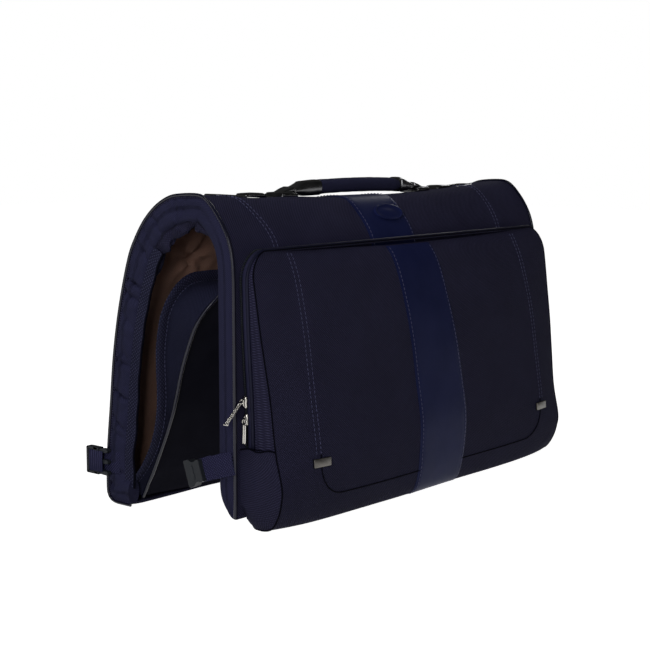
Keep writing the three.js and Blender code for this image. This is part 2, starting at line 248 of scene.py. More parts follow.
def stitches(build, path, normals, length=3.4, pitch=4.8, radius=0.42):
    """Short raised threads laid along a path."""
    travelled = 0.0
    following = pitch / 2
    for i in range(len(path) - 1):
        gap = (path[i + 1] - path[i]).length
        while following <= travelled + gap:
            t = (following - travelled) / max(gap, 1e-6)
            centre = path[i].lerp(path[i + 1], t)
            along = (path[i + 1] - path[i]).normalized()
            out = normals[i].lerp(normals[i + 1], t).normalized()
            side = along.cross(out).normalized()
            rings = []
            for k, r in ((-0.5, 0.25), (-0.3, 0.9), (0.0, 1.0), (0.3, 0.9), (0.5, 0.25)):
                middle = centre + along * (k * length) + out * (radius * 0.35 - abs(k) * radius * 0.7)
                rings.append([
                    middle + side * (radius * r * math.cos(a)) + out * (radius * r * math.sin(a))
                    for a in (0.0, 1.257, 2.513, 3.770, 5.027)
                ])
            loft(build, rings)
            following += pitch
        travelled += gap


def bevelled(build, outline, low, high, place, bevel=1.0):
    """A plate with softened edges: 2-D outline points, thick from low to high, put by place(a, b, c)."""
    centre_a = sum(p[0] for p in outline) / len(outline)
    centre_b = sum(p[1] for p in outline) / len(outline)
    rings = []
    for level, inset in ((low, bevel), (low + bevel * 0.3, bevel * 0.3), (low + bevel, 0.0),
                         (high - bevel, 0.0), (high - bevel * 0.3, bevel * 0.3), (high, bevel)):
        ring = []
        for i, (a, b) in enumerate(outline):
            before, after = outline[i - 1], outline[(i + 1) % len(outline)]
            tangent = Vector((after[0] - before[0], after[1] - before[1])).normalized()
            normal = Vector((tangent.y, -tangent.x))
            if normal.dot(Vector((a - centre_a, b - centre_b))) < 0:
                normal = -normal
            ring.append(Vector(place(a - normal.x * inset, b - normal.y * inset, level)))
        rings.append(ring)
    loft(build, rings)


def rounded_rectangle(half_a, half_b, radius, centre=(0.0, 0.0), corner_steps=5):
    points = []
    for qa, qb, start in ((1, 1, 0), (-1, 1, 90), (-1, -1, 180), (1, -1, 270)):
        for k in range(corner_steps + 1):
            angle = math.radians(start + 90 * k / corner_steps)
            points.append((
                centre[0] + qa * (half_a - radius) + radius * math.cos(angle),
                centre[1] + qb * (half_b - radius) + radius * math.sin(angle),
            ))
    return points


# ---- materials ----------------------------------------------------------------------------------


class Shader:
    """A Principled material with a few shorthand node builders."""

    def __init__(self, name, roughness, specular, metallic=0.0):
        self.material = bpy.data.materials.new(name)
        self.material.use_nodes = True
        self.tree = self.material.node_tree
        self.surface = self.tree.nodes["Principled BSDF"]
        self.surface.inputs["Roughness"].default_value = roughness
        self.surface.inputs["Specular IOR Level"].default_value = specular
        self.surface.inputs["Metallic"].default_value = metallic

    def node(self, kind, **values):
        made = self.tree.nodes.new(kind)
        for key, value in values.items():
            setattr(made, key, value)
        return made

    def math(self, operation, a, b=None):
        made = self.node("ShaderNodeMath", operation=operation)
        for socket, value in zip(made.inputs, (a, b)):
            if value is None:
                continue
            if isinstance(value, (int, float)):
                socket.default_value = value
            else:
                self.tree.links.new(value, socket)
        return made.outputs[0]

    def coordinates(self, kind):
        return self.node("ShaderNodeTexCoord").outputs[kind]

    def noise(self, scale, detail=3.0, source="Object", stretch=(1, 1, 1)):
        mapping = self.node("ShaderNodeMapping")
        mapping.inputs["Scale"].default_value = stretch
        self.tree.links.new(self.coordinates(source), mapping.inputs["Vector"])
        made = self.node("ShaderNodeTexNoise")
        made.inputs["Scale"].default_value = scale
        made.inputs["Detail"].default_value = detail
        self.tree.links.new(mapping.outputs[0], made.inputs["Vector"])
        return made.outputs["Fac"]

    def diagonal(self, pitch, lean, source="UV"):
        """A sine band, 0 to 1, across u + lean * v, with one period per pitch in metres."""
        split = self.node("ShaderNodeSeparateXYZ")
        self.tree.links.new(self.coordinates(source), split.inputs[0])
        total = self.math("ADD", split.outputs["X"], self.math("MULTIPLY", split.outputs["Y"], lean))
        wave = self.math("SINE", self.math("MULTIPLY", total, 2 * math.pi / pitch))
        return self.math("ADD", self.math("MULTIPLY", wave, 0.5), 0.5)

    def ramp(self, factor, dark, light, low=0.0, high=1.0):
        made = self.node("ShaderNodeValToRGB")
        made.color_ramp.elements[0].position = low
        made.color_ramp.elements[0].color = (*dark, 1)
        made.color_ramp.elements[1].position = high
        made.color_ramp.elements[1].color = (*light, 1)
        self.tree.links.new(factor, made.inputs[0])
        return made.outputs["Color"]

    def colour(self, socket):
        self.tree.links.new(socket, self.surface.inputs["Base Color"])

    def roughen(self, factor, low, high):
        made = self.node("ShaderNodeMapRange")
        made.inputs["To Min"].default_value = low
        made.inputs["To Max"].default_value = high
        self.tree.links.new(factor, made.inputs["Value"])
        self.tree.links.new(made.outputs[0], self.surface.inputs["Roughness"])

    def bump(self, height, distance, strength=1.0):
        made = self.node("ShaderNodeBump")
        made.inputs["Strength"].default_value = strength
        made.inputs["Distance"].default_value = distance
        self.tree.links.new(height, made.inputs["Height"])
        previous = self.surface.inputs["Normal"]
        if previous.is_linked:
            self.tree.links.new(previous.links[0].from_socket, made.inputs["Normal"])
        self.tree.links.new(made.outputs[0], self.surface.inputs["Normal"])

    def sheen(self, weight, tint, roughness=0.5):
        self.surface.inputs["Sheen Weight"].default_value = weight
        self.surface.inputs["Sheen Tint"].default_value = (*tint, 1)
        self.surface.inputs["Sheen Roughness"].default_value = roughness


def woven(name, dark, light, pitch, roughness=0.88, specular=0.06, sheen=0.015, depth=0.0004):
    """Twill cloth: two crossed diagonals for the threads, with slow patches of wear."""
    s = Shader(name, roughness, specular)
    threads = s.math("MULTIPLY", s.diagonal(pitch, 1.0), s.diagonal(pitch, -1.0))
    patches = s.noise(18.0, 4.0)
    shade = s.math("ADD", s.math("MULTIPLY", threads, 0.6), s.math("MULTIPLY", patches, 0.22))
    s.colour(s.ramp(s.math("ADD", shade, 0.12), dark, light, 0.1, 0.85))
    s.roughen(patches, roughness - 0.08, min(1.0, roughness + 0.08))
    s.bump(threads, depth)
    s.bump(s.noise(60.0, 2.0), 0.0005, 0.35)
    s.sheen(sheen, (0.55, 0.6, 0.95))
    return s.material


def smooth_skin(name, dark, light, roughness, specular, grain=900.0, depth=0.0001, coat=0.0):
    """Coated leather or vinyl with a fine grain."""
    s = Shader(name, roughness, specular)
    patches = s.noise(25.0, 3.0)
    s.colour(s.ramp(patches, dark, light, 0.25, 0.75))
    s.roughen(s.noise(140.0, 3.0), roughness - 0.06, roughness + 0.08)
    s.bump(s.noise(grain, 2.0), depth, 0.6)
    s.bump(s.noise(70.0, 2.0), 0.0004, 0.35)
    s.surface.inputs["Coat Weight"].default_value = coat
    s.surface.inputs["Coat Roughness"].default_value = 0.15
    return s.material


def metal(name, dark, light, roughness):
    s = Shader(name, roughness, 0.5, metallic=1.0)
    s.colour(s.ramp(s.noise(55.0, 4.0), dark, light, 0.3, 0.7))
    s.roughen(s.noise(70.0, 2.0), roughness - 0.05, roughness + 0.08)
    s.bump(s.noise(150.0, 1.0), 0.00003, 0.3)
    return s.material


NYLON = woven(
    "ballistic_nylon", (0.0100, 0.0094, 0.0270), (0.0820, 0.0780, 0.1650),
    0.0027, depth=0.0008)
BAND = woven(
    "band_cloth", (0.0180, 0.0180, 0.0490), (0.0640, 0.0650, 0.1450),
    0.0020, 0.85, 0.05, 0.015, 0.0003)
TAPE = woven(
    "zip_tape", (0.0080, 0.0085, 0.0250), (0.0880, 0.0900, 0.1750),
    0.0040, 0.88, 0.04, 0.01, 0.0010)
WEBBING = woven(
    "webbing_weave", (0.0130, 0.0130, 0.0450), (0.0900, 0.0880, 0.2050),
    0.0032, 0.85, 0.05, 0.02, 0.0008)
COVER = woven("cover_twill", (0.0068, 0.0072, 0.0220), (0.0530, 0.0560, 0.1250), 0.0027, depth=0.0008)
# Lining cloth lifted to about twice its own salmon brown: partly the lining's own colour, partly painted
# light for the light that doesn't reach inside the bag.
LINING_WITH_PAINTED_LIGHT = woven(
    "satin_lining_painted_light", (0.3300, 0.1800, 0.1350), (0.6600, 0.3900, 0.3000),
    0.0008, 0.55, 0.25, 0.02, 0.00005)
LEATHER = smooth_skin("coated_leather", (0.0120, 0.0170, 0.0760), (0.0190, 0.0250, 0.1000), 0.44, 0.06)
TRIM = smooth_skin("smooth_trim", (0.0190, 0.0190, 0.0500), (0.0330, 0.0330, 0.0800), 0.55, 0.12, 600.0)
PIPING = smooth_skin(
    "piping_vinyl", (0.0050, 0.0052, 0.0170), (0.0100, 0.0102, 0.0290),
    0.22, 0.32, 400.0, 0.00004)
# Near-black cloth for the wedge pocket's face: painted shade, a darker copy of the cover cloth standing in
# for the shadow the face sits in.
WEDGE_SHADE_CLOTH = smooth_skin(
    "wedge_face_painted_shade", (0.0070, 0.0070, 0.0140), (0.0130, 0.0130, 0.0240),
    0.8, 0.03, 500.0)
THREAD = woven(
    "stitch_thread", (0.0900, 0.0920, 0.1950), (0.1700, 0.1730, 0.3200),
    0.0007, 0.7, 0.1, 0.02, 0.0001)
# Near-black, for the thin tubes laid in seams and grooves: painted seam shadow.
SEAM_SHADOW = smooth_skin("seam_shadow", (0.0020, 0.0020, 0.0060), (0.0035, 0.0035, 0.0090), 0.8, 0.03)
PLASTIC = smooth_skin(
    "buckle_plastic", (0.0150, 0.0180, 0.0230), (0.0240, 0.0280, 0.0350),
    0.45, 0.16, 300.0)
GUNMETAL = metal("gunmetal", (0.070, 0.070, 0.074), (0.160, 0.160, 0.165), 0.22)
NICKEL = metal("satin_nickel", (0.40, 0.38, 0.35), (0.64, 0.62, 0.58), 0.20)
TAB = metal("aged_tab_metal", (0.060, 0.057, 0.053), (0.150, 0.140, 0.130), 0.34)
EDGE_CORD = smooth_skin(
    "edge_cord_vinyl", (0.0070, 0.0074, 0.0230), (0.0130, 0.0134, 0.0370),
    0.45, 0.12, 400.0)

# ---- the shell's path ---------------------------------------------------------------------------
# Outer profile (y, z), from under the front, up, over the squarish arch and down the bowed back.
SHELL_PROFILE = [
    (-78.0, 13.0), (-78.3, 20), (-78.5, 34), (-78.5, 60), (-78.5, 110), (-78.5, 170), (-78.5, 225),
    (-78.3, 262), (-76.6, 282), (-71.5, 300), (-63.5, 315), (-54, 327.5), (-45, 336.8), (-36, 342.6),
    (-25, 344.2), (-6, 343.6), (12, 340.8), (32, 331), (50.5, 314.5), (66, 292), (75, 273), (86, 237),
    (95, 200), (102, 160), (107.6, 111), (112.5, 70), (114.6, 40), (115.3, 20), (114.3, 10), (109, 3.6),
    (101, 1.6), (90, 1.4), (79, 1.4),
]
PROFILE_STEPS = 24


def measure_profile():
    """The profile as points a small step apart, with the length travelled to each."""
    count = (len(SHELL_PROFILE) - 1) * PROFILE_STEPS
    points = [catmull(SHELL_PROFILE, k / PROFILE_STEPS) for k in range(count + 1)]
    travelled = [0.0]
    for (y0, z0), (y1, z1) in zip(points, points[1:]):
        travelled.append(travelled[-1] + math.hypot(y1 - y0, z1 - z0))
    return points, travelled


PROFILE, TRAVELLED = measure_profile()
PATH_START, PATH_END = 0.0, TRAVELLED[-1]


def shell_at(s):
    """(y, z, ny, nz) of the outer shell at path length s, from under the front to under the back."""
    s = min(PATH_END, max(0.0, s))
    i = min(len(PROFILE) - 2, max(0, bisect.bisect_right(TRAVELLED, s) - 1))
    t = (s - TRAVELLED[i]) / max(1e-6, TRAVELLED[i + 1] - TRAVELLED[i])
    (y0, z0), (y1, z1) = PROFILE[i], PROFILE[i + 1]
    (ya, za), (yb, zb) = PROFILE[max(0, i - 4)], PROFILE[min(len(PROFILE) - 1, i + 5)]
    size = math.hypot(yb - ya, zb - za)
    return lerp(y0, y1, t), lerp(z0, z1, t), -(zb - za) / size, (yb - ya) / size


def nearest_stop(y, z):
    best = min(range(len(PROFILE)), key=lambda i: math.hypot(PROFILE[i][0] - y, PROFILE[i][1] - z))
    return TRAVELLED[best]


def arc_stop(degrees):
    """The path length beside the point at this angle round the arch's centre."""
    angle = math.radians(degrees)
    return nearest_stop(ARCH_RADIUS * math.cos(angle), ARCH_Z + ARCH_RADIUS * math.sin(angle))


def settle(x, z):
    """The top sags a little between the bag's two ends, and its left end sits lowest."""
    sag = TOP_SAG * (1 - (x / HALF_WIDTH) ** 2) + LEFT_DIP * smooth(-100, -200, x)
    return z - sag * smooth(235, 335, z)


def shell_point(x, s, depth=0.0):
    y, z, ny, nz = shell_at(s)
    y, z = y - ny * depth, z - nz * depth
    return Vector((x, y, settle(x, z)))


def shell_normal(s):
    _, _, ny, nz = shell_at(s)
    return Vector((0, ny, nz))


def top_z(x):
    """The height the metal fittings sit at on the shell's top."""
    return settle(x, ARCH_Z + ARCH_RADIUS) - 1.6


fold_stops = [arc_stop(lerp(FRONT_FOLD_ANGLE, math.degrees(BACK_LEAN), i / 3)) for i in range(4)]
cut_stops = [PATH_START] + [(a + b) / 2 for a, b in zip(fold_stops, fold_stops[1:])] + [PATH_END]
BLEND_REACH = 26.0
FRONT_FOOT = nearest_stop(-78.5, 45)
BACK_FOOT = nearest_stop(115, 20)


def path_stops(start, end, pitch=5.0):
    return steps(start, end, max(2, round((end - start) / pitch)))


def across_fold(piece, i, *nodes):
    """Bakes a piece's transform and hides the CAD nodes it stands for; nothing is bent over fold i."""
    stop = fold_stops[i]
    start = shell_point(HALF_WIDTH, stop - BLEND_REACH) * MM
    end = shell_point(HALF_WIDTH, stop + BLEND_REACH) * MM
    start.x = end.x = 0
    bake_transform(piece)
    if nodes:
        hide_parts(*nodes)


# ---- outer skins, strip, stitching, piping, bands and lining over the four folds ----------------
def skin_point(x, s):
    y, z, ny, nz = shell_at(s)
    soft = 0.7 * ripple(x / 90, s / 70, 3.0) * smooth(HALF_WIDTH, HALF_WIDTH - 40, abs(x))
    crown = 1.2 * smooth(HALF_WIDTH, HALF_WIDTH - 14, abs(x)) - 1.2
    return shell_point(x, s, -soft - crown)


def band_depth(s):
    """How far the rolled side band reaches in from the shell, rounded off at the front's foot."""
    rise = min(1.0, max(0.0, s / 34.0))
    front = lerp(3.0, 23.5, math.sqrt(1 - (1 - rise) ** 2))
    over = lerp(front, 28.5, smooth(fold_stops[0] - 10, fold_stops[1] + 20, s))
    return lerp(over, 27.0, smooth(fold_stops[3], fold_stops[3] + 60, s))


def tuck(s, angle):
    """Depth of the irregular tucks pinched into the back's side gusset, strongest on its outer face."""
    first = fold_stops[1] - 12
    depth = 0.0
    for k in range(16):
        at = first + k * 27 + 9 * math.sin(k * 2.3)
        bend = (5 + 4 * math.sin(k * 1.7)) * math.sin(angle)
        depth += (2.0 + math.sin(k * 1.3)) * math.exp(-((s - at - bend) / (2.6 + math.sin(k * 0.9))) ** 2)
    return depth


def band_ring(side, s, sides=24):
    """A padded cross-section: smooth and rolled in front, puckered by tucks towards the back."""
    reach = band_depth(s)
    slack = smooth(fold_stops[1] - 20, fold_stops[2], s)
    half_depth = (reach - 1.0) / 2 * (1 + 0.07 * slack * ripple(s / 24, side * 2.0, 5.0))
    half_x = lerp(6.0, 8.0, slack) * lerp(0.45, 1.0, smooth(0, 24, s))
    centre_x = HALF_WIDTH - lerp(4.0, 4.6, slack)
    over = smooth(fold_stops[0] + 10, fold_stops[1], s) * smooth(fold_stops[3] + 60, fold_stops[3], s)
    sway = ripple(s / 40, side * 3.0, 61.0)
    ring = []
    for k in range(sides):
        angle = 2 * math.pi * k / sides
        c, t = math.cos(angle), math.sin(angle)
        power = 2 / lerp(2.15, 2.3, slack)
        across = half_x * math.copysign(abs(c) ** power, c)
        turned = angle if angle < math.pi else angle - 2 * math.pi
        valley = 3.4 * over * math.exp(-(turned / 0.42 + 0.4 * sway) ** 2)
        creases = 1.9 * tuck(s, angle) + 1.4 * ripple(s / 13, t * 1.6, side * 6.0)
        pinch = max(0.0, c) * (slack * creases + valley)
        depth = 1.2 + reach / 2 + half_depth * math.copysign(abs(t) ** power, t)
        ring.append(shell_point(side * (centre_x + across - pinch), s, depth))
    return ring


def lining_depth(s):
    return lerp(18.5, 5.0, smooth(fold_stops[0] - 30, fold_stops[2], s))


STAR_X = -197.0
STAR_STOP = nearest_stop(75, 271)


def lining_point(x, s):
    edge = smooth(HALF_WIDTH - 6, HALF_WIDTH - 60, abs(x))
    folds = 1.8 * ripple(x / 42, s / 60, 11.0) + 1.2 * (1 - 2 * abs(ripple(x / 22, s / 44, 17.0)))
    star_x = x - STAR_X
    star_s = s - STAR_STOP
    far = math.hypot(star_x, star_s)
    spoke = abs(math.cos(2.5 * math.atan2(star_s, star_x) + 0.6)) ** 5
    rays = spoke * math.exp(-far / 30) * smooth(0, 8, far) - 0.6 * math.exp(-(far / 9) ** 2)
    return shell_point(x, s, lining_depth(s) + 1.5 + edge * folds + 8.0 * rays)


def strip_point(x, s):
    """The strip over the top lies on the skin, with thinned edges."""
    edge = smooth(STRIP_HALF - 2.5, STRIP_HALF, abs(x - STRIP_CENTRE))
    return skin_point(x, s) + shell_normal(s) * (1.3 - 0.9 * edge)


def stitch_path(build, x_at, s0, s1, lift=0.35):
    stops = path_stops(s0, s1)
    path = [skin_point(x_at(s), s) + shell_normal(s) * lift for s in stops]
    stitches(build, path, [shell_normal(s) for s in stops])


def stitch_line_x(side, k, s):
    """The double rows flare outwards a little as they go over the top."""
    over = smooth(fold_stops[0], fold_stops[1] + 15, s) * smooth(fold_stops[3], fold_stops[2], s)
    return lerp(-6, -16, over) + side * (STITCH_LINE_X + k * 6 + lerp(-8, 4, over))


skin_nodes = [
    ["front_shell"],
    ["spine_front_panel"],
    ["spine_mid_panel"],
    ["spine_back_panel", "back_shell", "back_bottom"],
]
band_nodes = [
    ["front_side_band_L", "front_side_band_R", "front_bottom_band"],
    ["spine_front_band_L", "spine_front_band_R"],
    ["spine_mid_band_L", "spine_mid_band_R"],
    ["spine_back_band_L", "spine_back_band_R", "back_gusset_L", "back_gusset_R"],
]
lining_nodes = [["front_inner_panel"], [], [], ["back_lining"]]

for i in range(4):
    low, high = cut_stops[i], cut_stops[i + 1]
    stops = path_stops(low, high)

    skin = Build()
    xs = steps(-HALF_WIDTH, HALF_WIDTH, 64)
    slab(skin, [[skin_point(x, s) for x in xs] for s in stops], 2.4,
         [(x * MM, s * MM) for s in stops for x in xs])
    piece = skin.make(f"shell_skin_{i + 1}", NYLON)
    across_fold(piece, i, *skin_nodes[i])

    threads = Build()
    for side in (-1, 1):
        for k in (0, 1):
            stitch_path(threads, lambda s: stitch_line_x(side, k, s), low, min(high, BACK_FOOT))
    if i < 3:
        strip = Build()
        strip_xs = [STRIP_CENTRE + x for x in steps(-STRIP_HALF, STRIP_HALF, 16)]
        strip_low = max(low, fold_stops[0] - 26)
        strip_high = min(high, fold_stops[2] + 8)
        strip_stops = path_stops(strip_low, strip_high)
        slab(strip, [[strip_point(x, s) for x in strip_xs] for s in strip_stops], 1.6,
             [(x * MM, s * MM) for s in strip_stops for x in strip_xs])
        piece = strip.make(f"strip_{i + 1}", LEATHER)
        nodes = [[], ["spine_front_strip"], ["spine_mid_strip"]][i]
        across_fold(piece, i, *nodes)
        for edge in (-1, 1):
            at = STRIP_CENTRE + edge * (STRIP_HALF - 3.5)
            stitch_path(threads, lambda s: at, strip_low, strip_high, 1.5)
    piece = threads.make(f"shell_stitching_{i + 1}", THREAD)
    across_fold(piece, i)

    piping = Build()
    bands = Build()
    for side in (-1, 1):
        tube(piping, [shell_point(side * (HALF_WIDTH + 0.3), s, 0.2) for s in stops], 1.7, 10)
        fine = path_stops(low, high, 2.5)
        loft(bands, [band_ring(side, s) for s in fine])
    piece = piping.make(f"shell_piping_{i + 1}", PIPING)
    across_fold(piece, i)
    piece = bands.make(f"side_band_{i + 1}", BAND)
    across_fold(piece, i, *band_nodes[i])

    lining = Build()
    lining_stops = path_stops(max(low, FRONT_FOOT), min(high, BACK_FOOT), 4.0)
    lining_xs = steps(-HALF_WIDTH + 5, HALF_WIDTH - 5, 100)
    slab(lining, [[lining_point(x, s) for x in lining_xs] for s in lining_stops], 0.8,
         [(x * MM, s * MM) for s in lining_stops for x in lining_xs])
    # The lining's lifted colour is partly painted light.
    piece = lining.make(f"lining_{i + 1}", LINING_WITH_PAINTED_LIGHT)
    across_fold(piece, i, *lining_nodes[i])

# The front half's foot: cloth turned under the compartment and up in front of the lining, as (y, z).
bottom_wrap = Build()
wrap_path = [
    (-78.2, 15.5), (-76.5, 12.8), (-71, 12.6), (-65.5, 17), (-60.5, 26), (-57, 38), (-55.6, 52), (-55.6, 66),
]
wrap_rows = []
for t in steps(0, len(wrap_path) - 1, 28):
    y, z = catmull(wrap_path, t)
    wrap_rows.append([Vector((x, y, z)) for x in steps(-HALF_WIDTH + 4, HALF_WIDTH - 4, 30)])
slab(bottom_wrap, wrap_rows, 1.6)
piece = bottom_wrap.make("front_bottom_wrap", NYLON)
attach(piece, "front_half")

# ---- zip tape on the back half's inner edge -----------------------------------------------------
back_tape = Build()
back_coil = Build()
TAPE_WIDTH = 13.0
for side in (-1, 1):
    stops = path_stops(cut_stops[3] + 2, BACK_FOOT, 4.0)
    rows = []
    for s in stops:
        inner = band_depth(s)
        lean = 1.5 * ripple(s / 30, side * 7.0, 2.0)
        row = []
        for w in (0.0, 0.33, 0.66, 1.0):
            x = side * (HALF_WIDTH - 1.5 - 1.2 * w + lean * w)
            row.append(shell_point(x, s, inner - 1 + w * TAPE_WIDTH))
        rows.append(row)
    slab(back_tape, rows, -1.0 * side)
    tube(back_coil, [row[-1] for row in rows], 1.3, 6)
piece = back_tape.make("back_zip_tape", TAPE)
across_fold(piece, 3)
# The coil is drawn in the near-black seam-shadow colour: a real coil, darkened with painted shade.
piece = back_coil.make("back_zip_coil", SEAM_SHADOW)
across_fold(piece, 3)

# ---- front pocket -------------------------------------------------------------------------------
# Each station: half width, seam (y, z) at the sides, (y, z) in the middle, from under the pocket to its top.
POCKET_PATH = [
    (256, -78, 15, -78, 12),
    (257.5, -83, 1.4, -83, 1.4),
    (259.5, -96, -0.4, -99, 0.0),
    (260.5, -111, 4.0, -117, 0.8),
    (261.5, -121, 18, -126.5, 8.5),
    (262.5, -126, 34, -132, 26),
    (263, -127, 50, -135, 48),
    (264, -119.5, 85, -136.5, 85),
    (265.5, -114.5, 133, -130, 133),
    (268, -110, 170, -125.5, 170),
    (270, -105, 205, -119.5, 205),
    (271.5, -99, 250, -107, 250),
    (272, -95, 273, -99, 272),
    (272, -91.5, 288, -91, 287),
]
PANEL_SPLIT = 7.0
RIGHT_SLACK = 4.5
TOP_V = len(POCKET_PATH) - 1
POCKET_TOP = 290.0
POCKET_CORNER = 35.0


def right_slack(v):
    """How far the pocket's right side stands out past its left, in millimetres."""
    return RIGHT_SLACK * smooth(TOP_V + 3, 5, v)


def corner_cut(z):
    rise = max(0.0, z - (POCKET_TOP - POCKET_CORNER))
    return POCKET_CORNER - math.sqrt(max(0.0, POCKET_CORNER ** 2 - min(rise, POCKET_CORNER) ** 2))


def pocket_panel_point(u, v, lift=0.0):
    half, seam_y, seam_z, mid_y, mid_z = catmull(POCKET_PATH, v)
    blend = abs(u) ** lerp(7.0, 3.4, smooth(4.0, 9.0, v))
    y, z = lerp(mid_y, seam_y, blend), lerp(mid_z, seam_z, blend)
    half -= corner_cut(seam_z)
    x = u * half + right_slack(v) * smooth(0.4, 1.0, u)
    pillow = 1.6 * (1 - abs(u) ** 10) * smooth(len(POCKET_PATH) - 1, len(POCKET_PATH) - 1.8, v)
    soft = 0.9 * ripple(x / 110, v / 2.2, 21.0) * (1 - abs(u) ** 4)
    return Vector((x, y - pillow - soft - lift, settle(x, z)))


def pocket_u(x, v):
    half, _, seam_z, _, _ = catmull(POCKET_PATH, v)
    return x / (half - corner_cut(seam_z))


def pocket_v(z):
    """The station of the panel's middle line at height z, on the front face."""
    low, high = 3.0, len(POCKET_PATH) - 1.0
    for _ in range(30):
        middle = (low + high) / 2
        if catmull(POCKET_PATH, middle)[4] < z:
            low = middle
        else:
            high = middle
    return low


def pocket_rows(us, vs, lift=0.0):
    return [[pocket_panel_point(u, v, lift) for u in us] for v in vs]


panel = Build()
panel_us = [math.sin(t * math.pi / 2) * 0.35 + t * 0.65 for t in steps(-1, 1, 80)]
slab(panel, pocket_rows(panel_us, steps(0, TOP_V, 156)), 2.5)
piece = panel.make("pocket_panel", NYLON)
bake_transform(piece)
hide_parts("flap_panel", "pocket_lower_front", "pocket_bottom")


def pocket_strip_x(across, v):
    """The strip's edges, a little to the left and narrower at the pocket's top."""
    rise = smooth(pocket_v(60), TOP_V, v)
    return -10.0 * rise + across * lerp(44.0, 41.0, rise)


strip = Build()
strip_vs = steps(1.2, TOP_V - 0.12, 120)
rows = []
for v in strip_vs:
    row = []
    for x in steps(-1, 1, 16):
        lift = 1.3 - 0.9 * smooth(0.94, 1.0, abs(x))
        row.append(pocket_panel_point(pocket_u(pocket_strip_x(x, v), v), v, lift))
    rows.append(row)
slab(strip, rows, 1.6)
piece = strip.make("pocket_strip", LEATHER)
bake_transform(piece)
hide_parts("pocket_strip_lower", "flap_strip")


def on_pocket(x, v, lift):
    return pocket_panel_point(pocket_u(x, v), v, lift)


pocket_threads = Build()
FORWARD = Vector((0, -1, 0))
for edge in (-0.92, 0.92):
    path = [on_pocket(pocket_strip_x(edge, v), v, 1.45) for v in steps(2.6, TOP_V - 0.2, 110)]
    stitches(pocket_threads, path, [FORWARD] * len(path))
for side in (-1, 1):
    for k in (0, 1):
        path = []
        for v in steps(pocket_v(76), TOP_V - 0.2, 80):
            drift = 6.0 * smooth(pocket_v(130), TOP_V, v)
            path.append(on_pocket(-drift + side * (STITCH_LINE_X + k * 6 - 2 - drift), v, 0.35))
        stitches(pocket_threads, path, [FORWARD] * len(path))
piece = pocket_threads.make("pocket_stitching", THREAD)
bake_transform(piece)

# The inset seam's painted shadow: a near-black line down from the tabs, round the lower corners and along the
# bottom.
inset_seam_shadow_line = Build()
INSET_Z = 30.0
INSET_RADIUS = 34.0
inset = []
for z in (76.0, 72.0, 68.0, INSET_Z + INSET_RADIUS):
    inset.append((-210.0, z))
for k in range(1, 10):
    angle = math.radians(180 + 90 * k / 9)
    inset.append((-210 + INSET_RADIUS + INSET_RADIUS * math.cos(angle),
                  INSET_Z + INSET_RADIUS + INSET_RADIUS * math.sin(angle)))
for x in steps(-170, 0, 30):
    inset.append((x, INSET_Z))
inset += [(-x, z) for x, z in reversed(inset[:-1])]
tube(inset_seam_shadow_line, [on_pocket(x, pocket_v(z), 0.2) for x, z in inset], 0.75, 6)
piece = inset_seam_shadow_line.make("pocket_inset_seam_shadow", SEAM_SHADOW)
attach(piece, "front_half")


def pocket_outline(side_rows):
    """Left side up, over the top and down the right, as (x, seam y, z)."""
    left = []
    for v in side_rows:
        half, seam_y, seam_z, _, _ = catmull(POCKET_PATH, v)
        left.append((-(half - corner_cut(seam_z)), seam_y, seam_z))
    right = [(-x + right_slack(v), y, z) for (x, y, z), v in zip(left, side_rows)]
    return left + right[::-1]


def outline_frames(points):
    """Each outline point with the outward direction beside it, in x and z."""
    found = []
    for i, (x, y, z) in enumerate(points):
        ax, _, az = points[max(0, i - 1)]
        bx, _, bz = points[min(len(points) - 1, i + 1)]
        along = Vector((bx - ax, 0, bz - az)).normalized()
        found.append((Vector((x, y, settle(x, z))), Vector((-along.z, 0, along.x))))
    return found


flap_vs = steps(PANEL_SPLIT, 11.0, 26)
flap_vs += [11.0 + 3.0 * math.sin(t * math.pi / 2) * 0.6666 for t in steps(0.05, 1, 24)]
flap_frames = outline_frames(pocket_outline(flap_vs))

ZIP_Y = -80.0
BAND_FRONT_Y = -87.5


def outline_strip(build, sections, frames, thickness):
    """A strip along the outline; sections give (y of a point, outward offset) across it."""
    rows = []
    for at, out in frames:
        foot = Vector((at.x, 0, at.z))
        rows.append([foot + out * offset + Vector((0, y(at), 0)) for y, offset in sections])
    slab(build, rows, thickness)


smooth_band = Build()
outline_strip(smooth_band, [
    (lambda at: ZIP_Y - 1.2, -0.6),
    (lambda at: lerp(ZIP_Y, BAND_FRONT_Y, 0.35), 0.9),
    (lambda at: lerp(ZIP_Y, BAND_FRONT_Y, 0.7), 1.0),
    (lambda at: BAND_FRONT_Y, -0.2),
], flap_frames, 1.6)
piece = smooth_band.make("pocket_edge_band", TRIM)
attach(piece, "pocket_flap")

pocket_piping = Build()
tube(pocket_piping, [at + out * 0.6 + Vector((0, max(BAND_FRONT_Y, at.y + 3.0) - at.y - 1.6, 0))
                     for at, out in flap_frames], 2.1, 12)
piece = pocket_piping.make("pocket_piping", EDGE_CORD)
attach(piece, "pocket_flap")

gusset = Build()
outline_strip(gusset, [
    (lambda at, t=t: lerp(max(BAND_FRONT_Y, at.y + 2.6), at.y + 0.5, t), 1.6 * math.sin(math.pi * t) - 1.0)
    for t in steps(0, 1, 8)
], flap_frames, 2.0)
piece = gusset.make("pocket_gusset", NYLON)
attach(piece, "pocket_flap")
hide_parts("flap_gusset")

# A near-black tube along the flap's edge: the painted shadow of its seam.
edge_seam_shadow = Build()
tube(edge_seam_shadow, [at + out * 0.2 + Vector((0, 0.4, 0)) for at, out in flap_frames], 0.8, 6)
piece = edge_seam_shadow.make("flap_edge_seam", SEAM_SHADOW)
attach(piece, "pocket_flap")

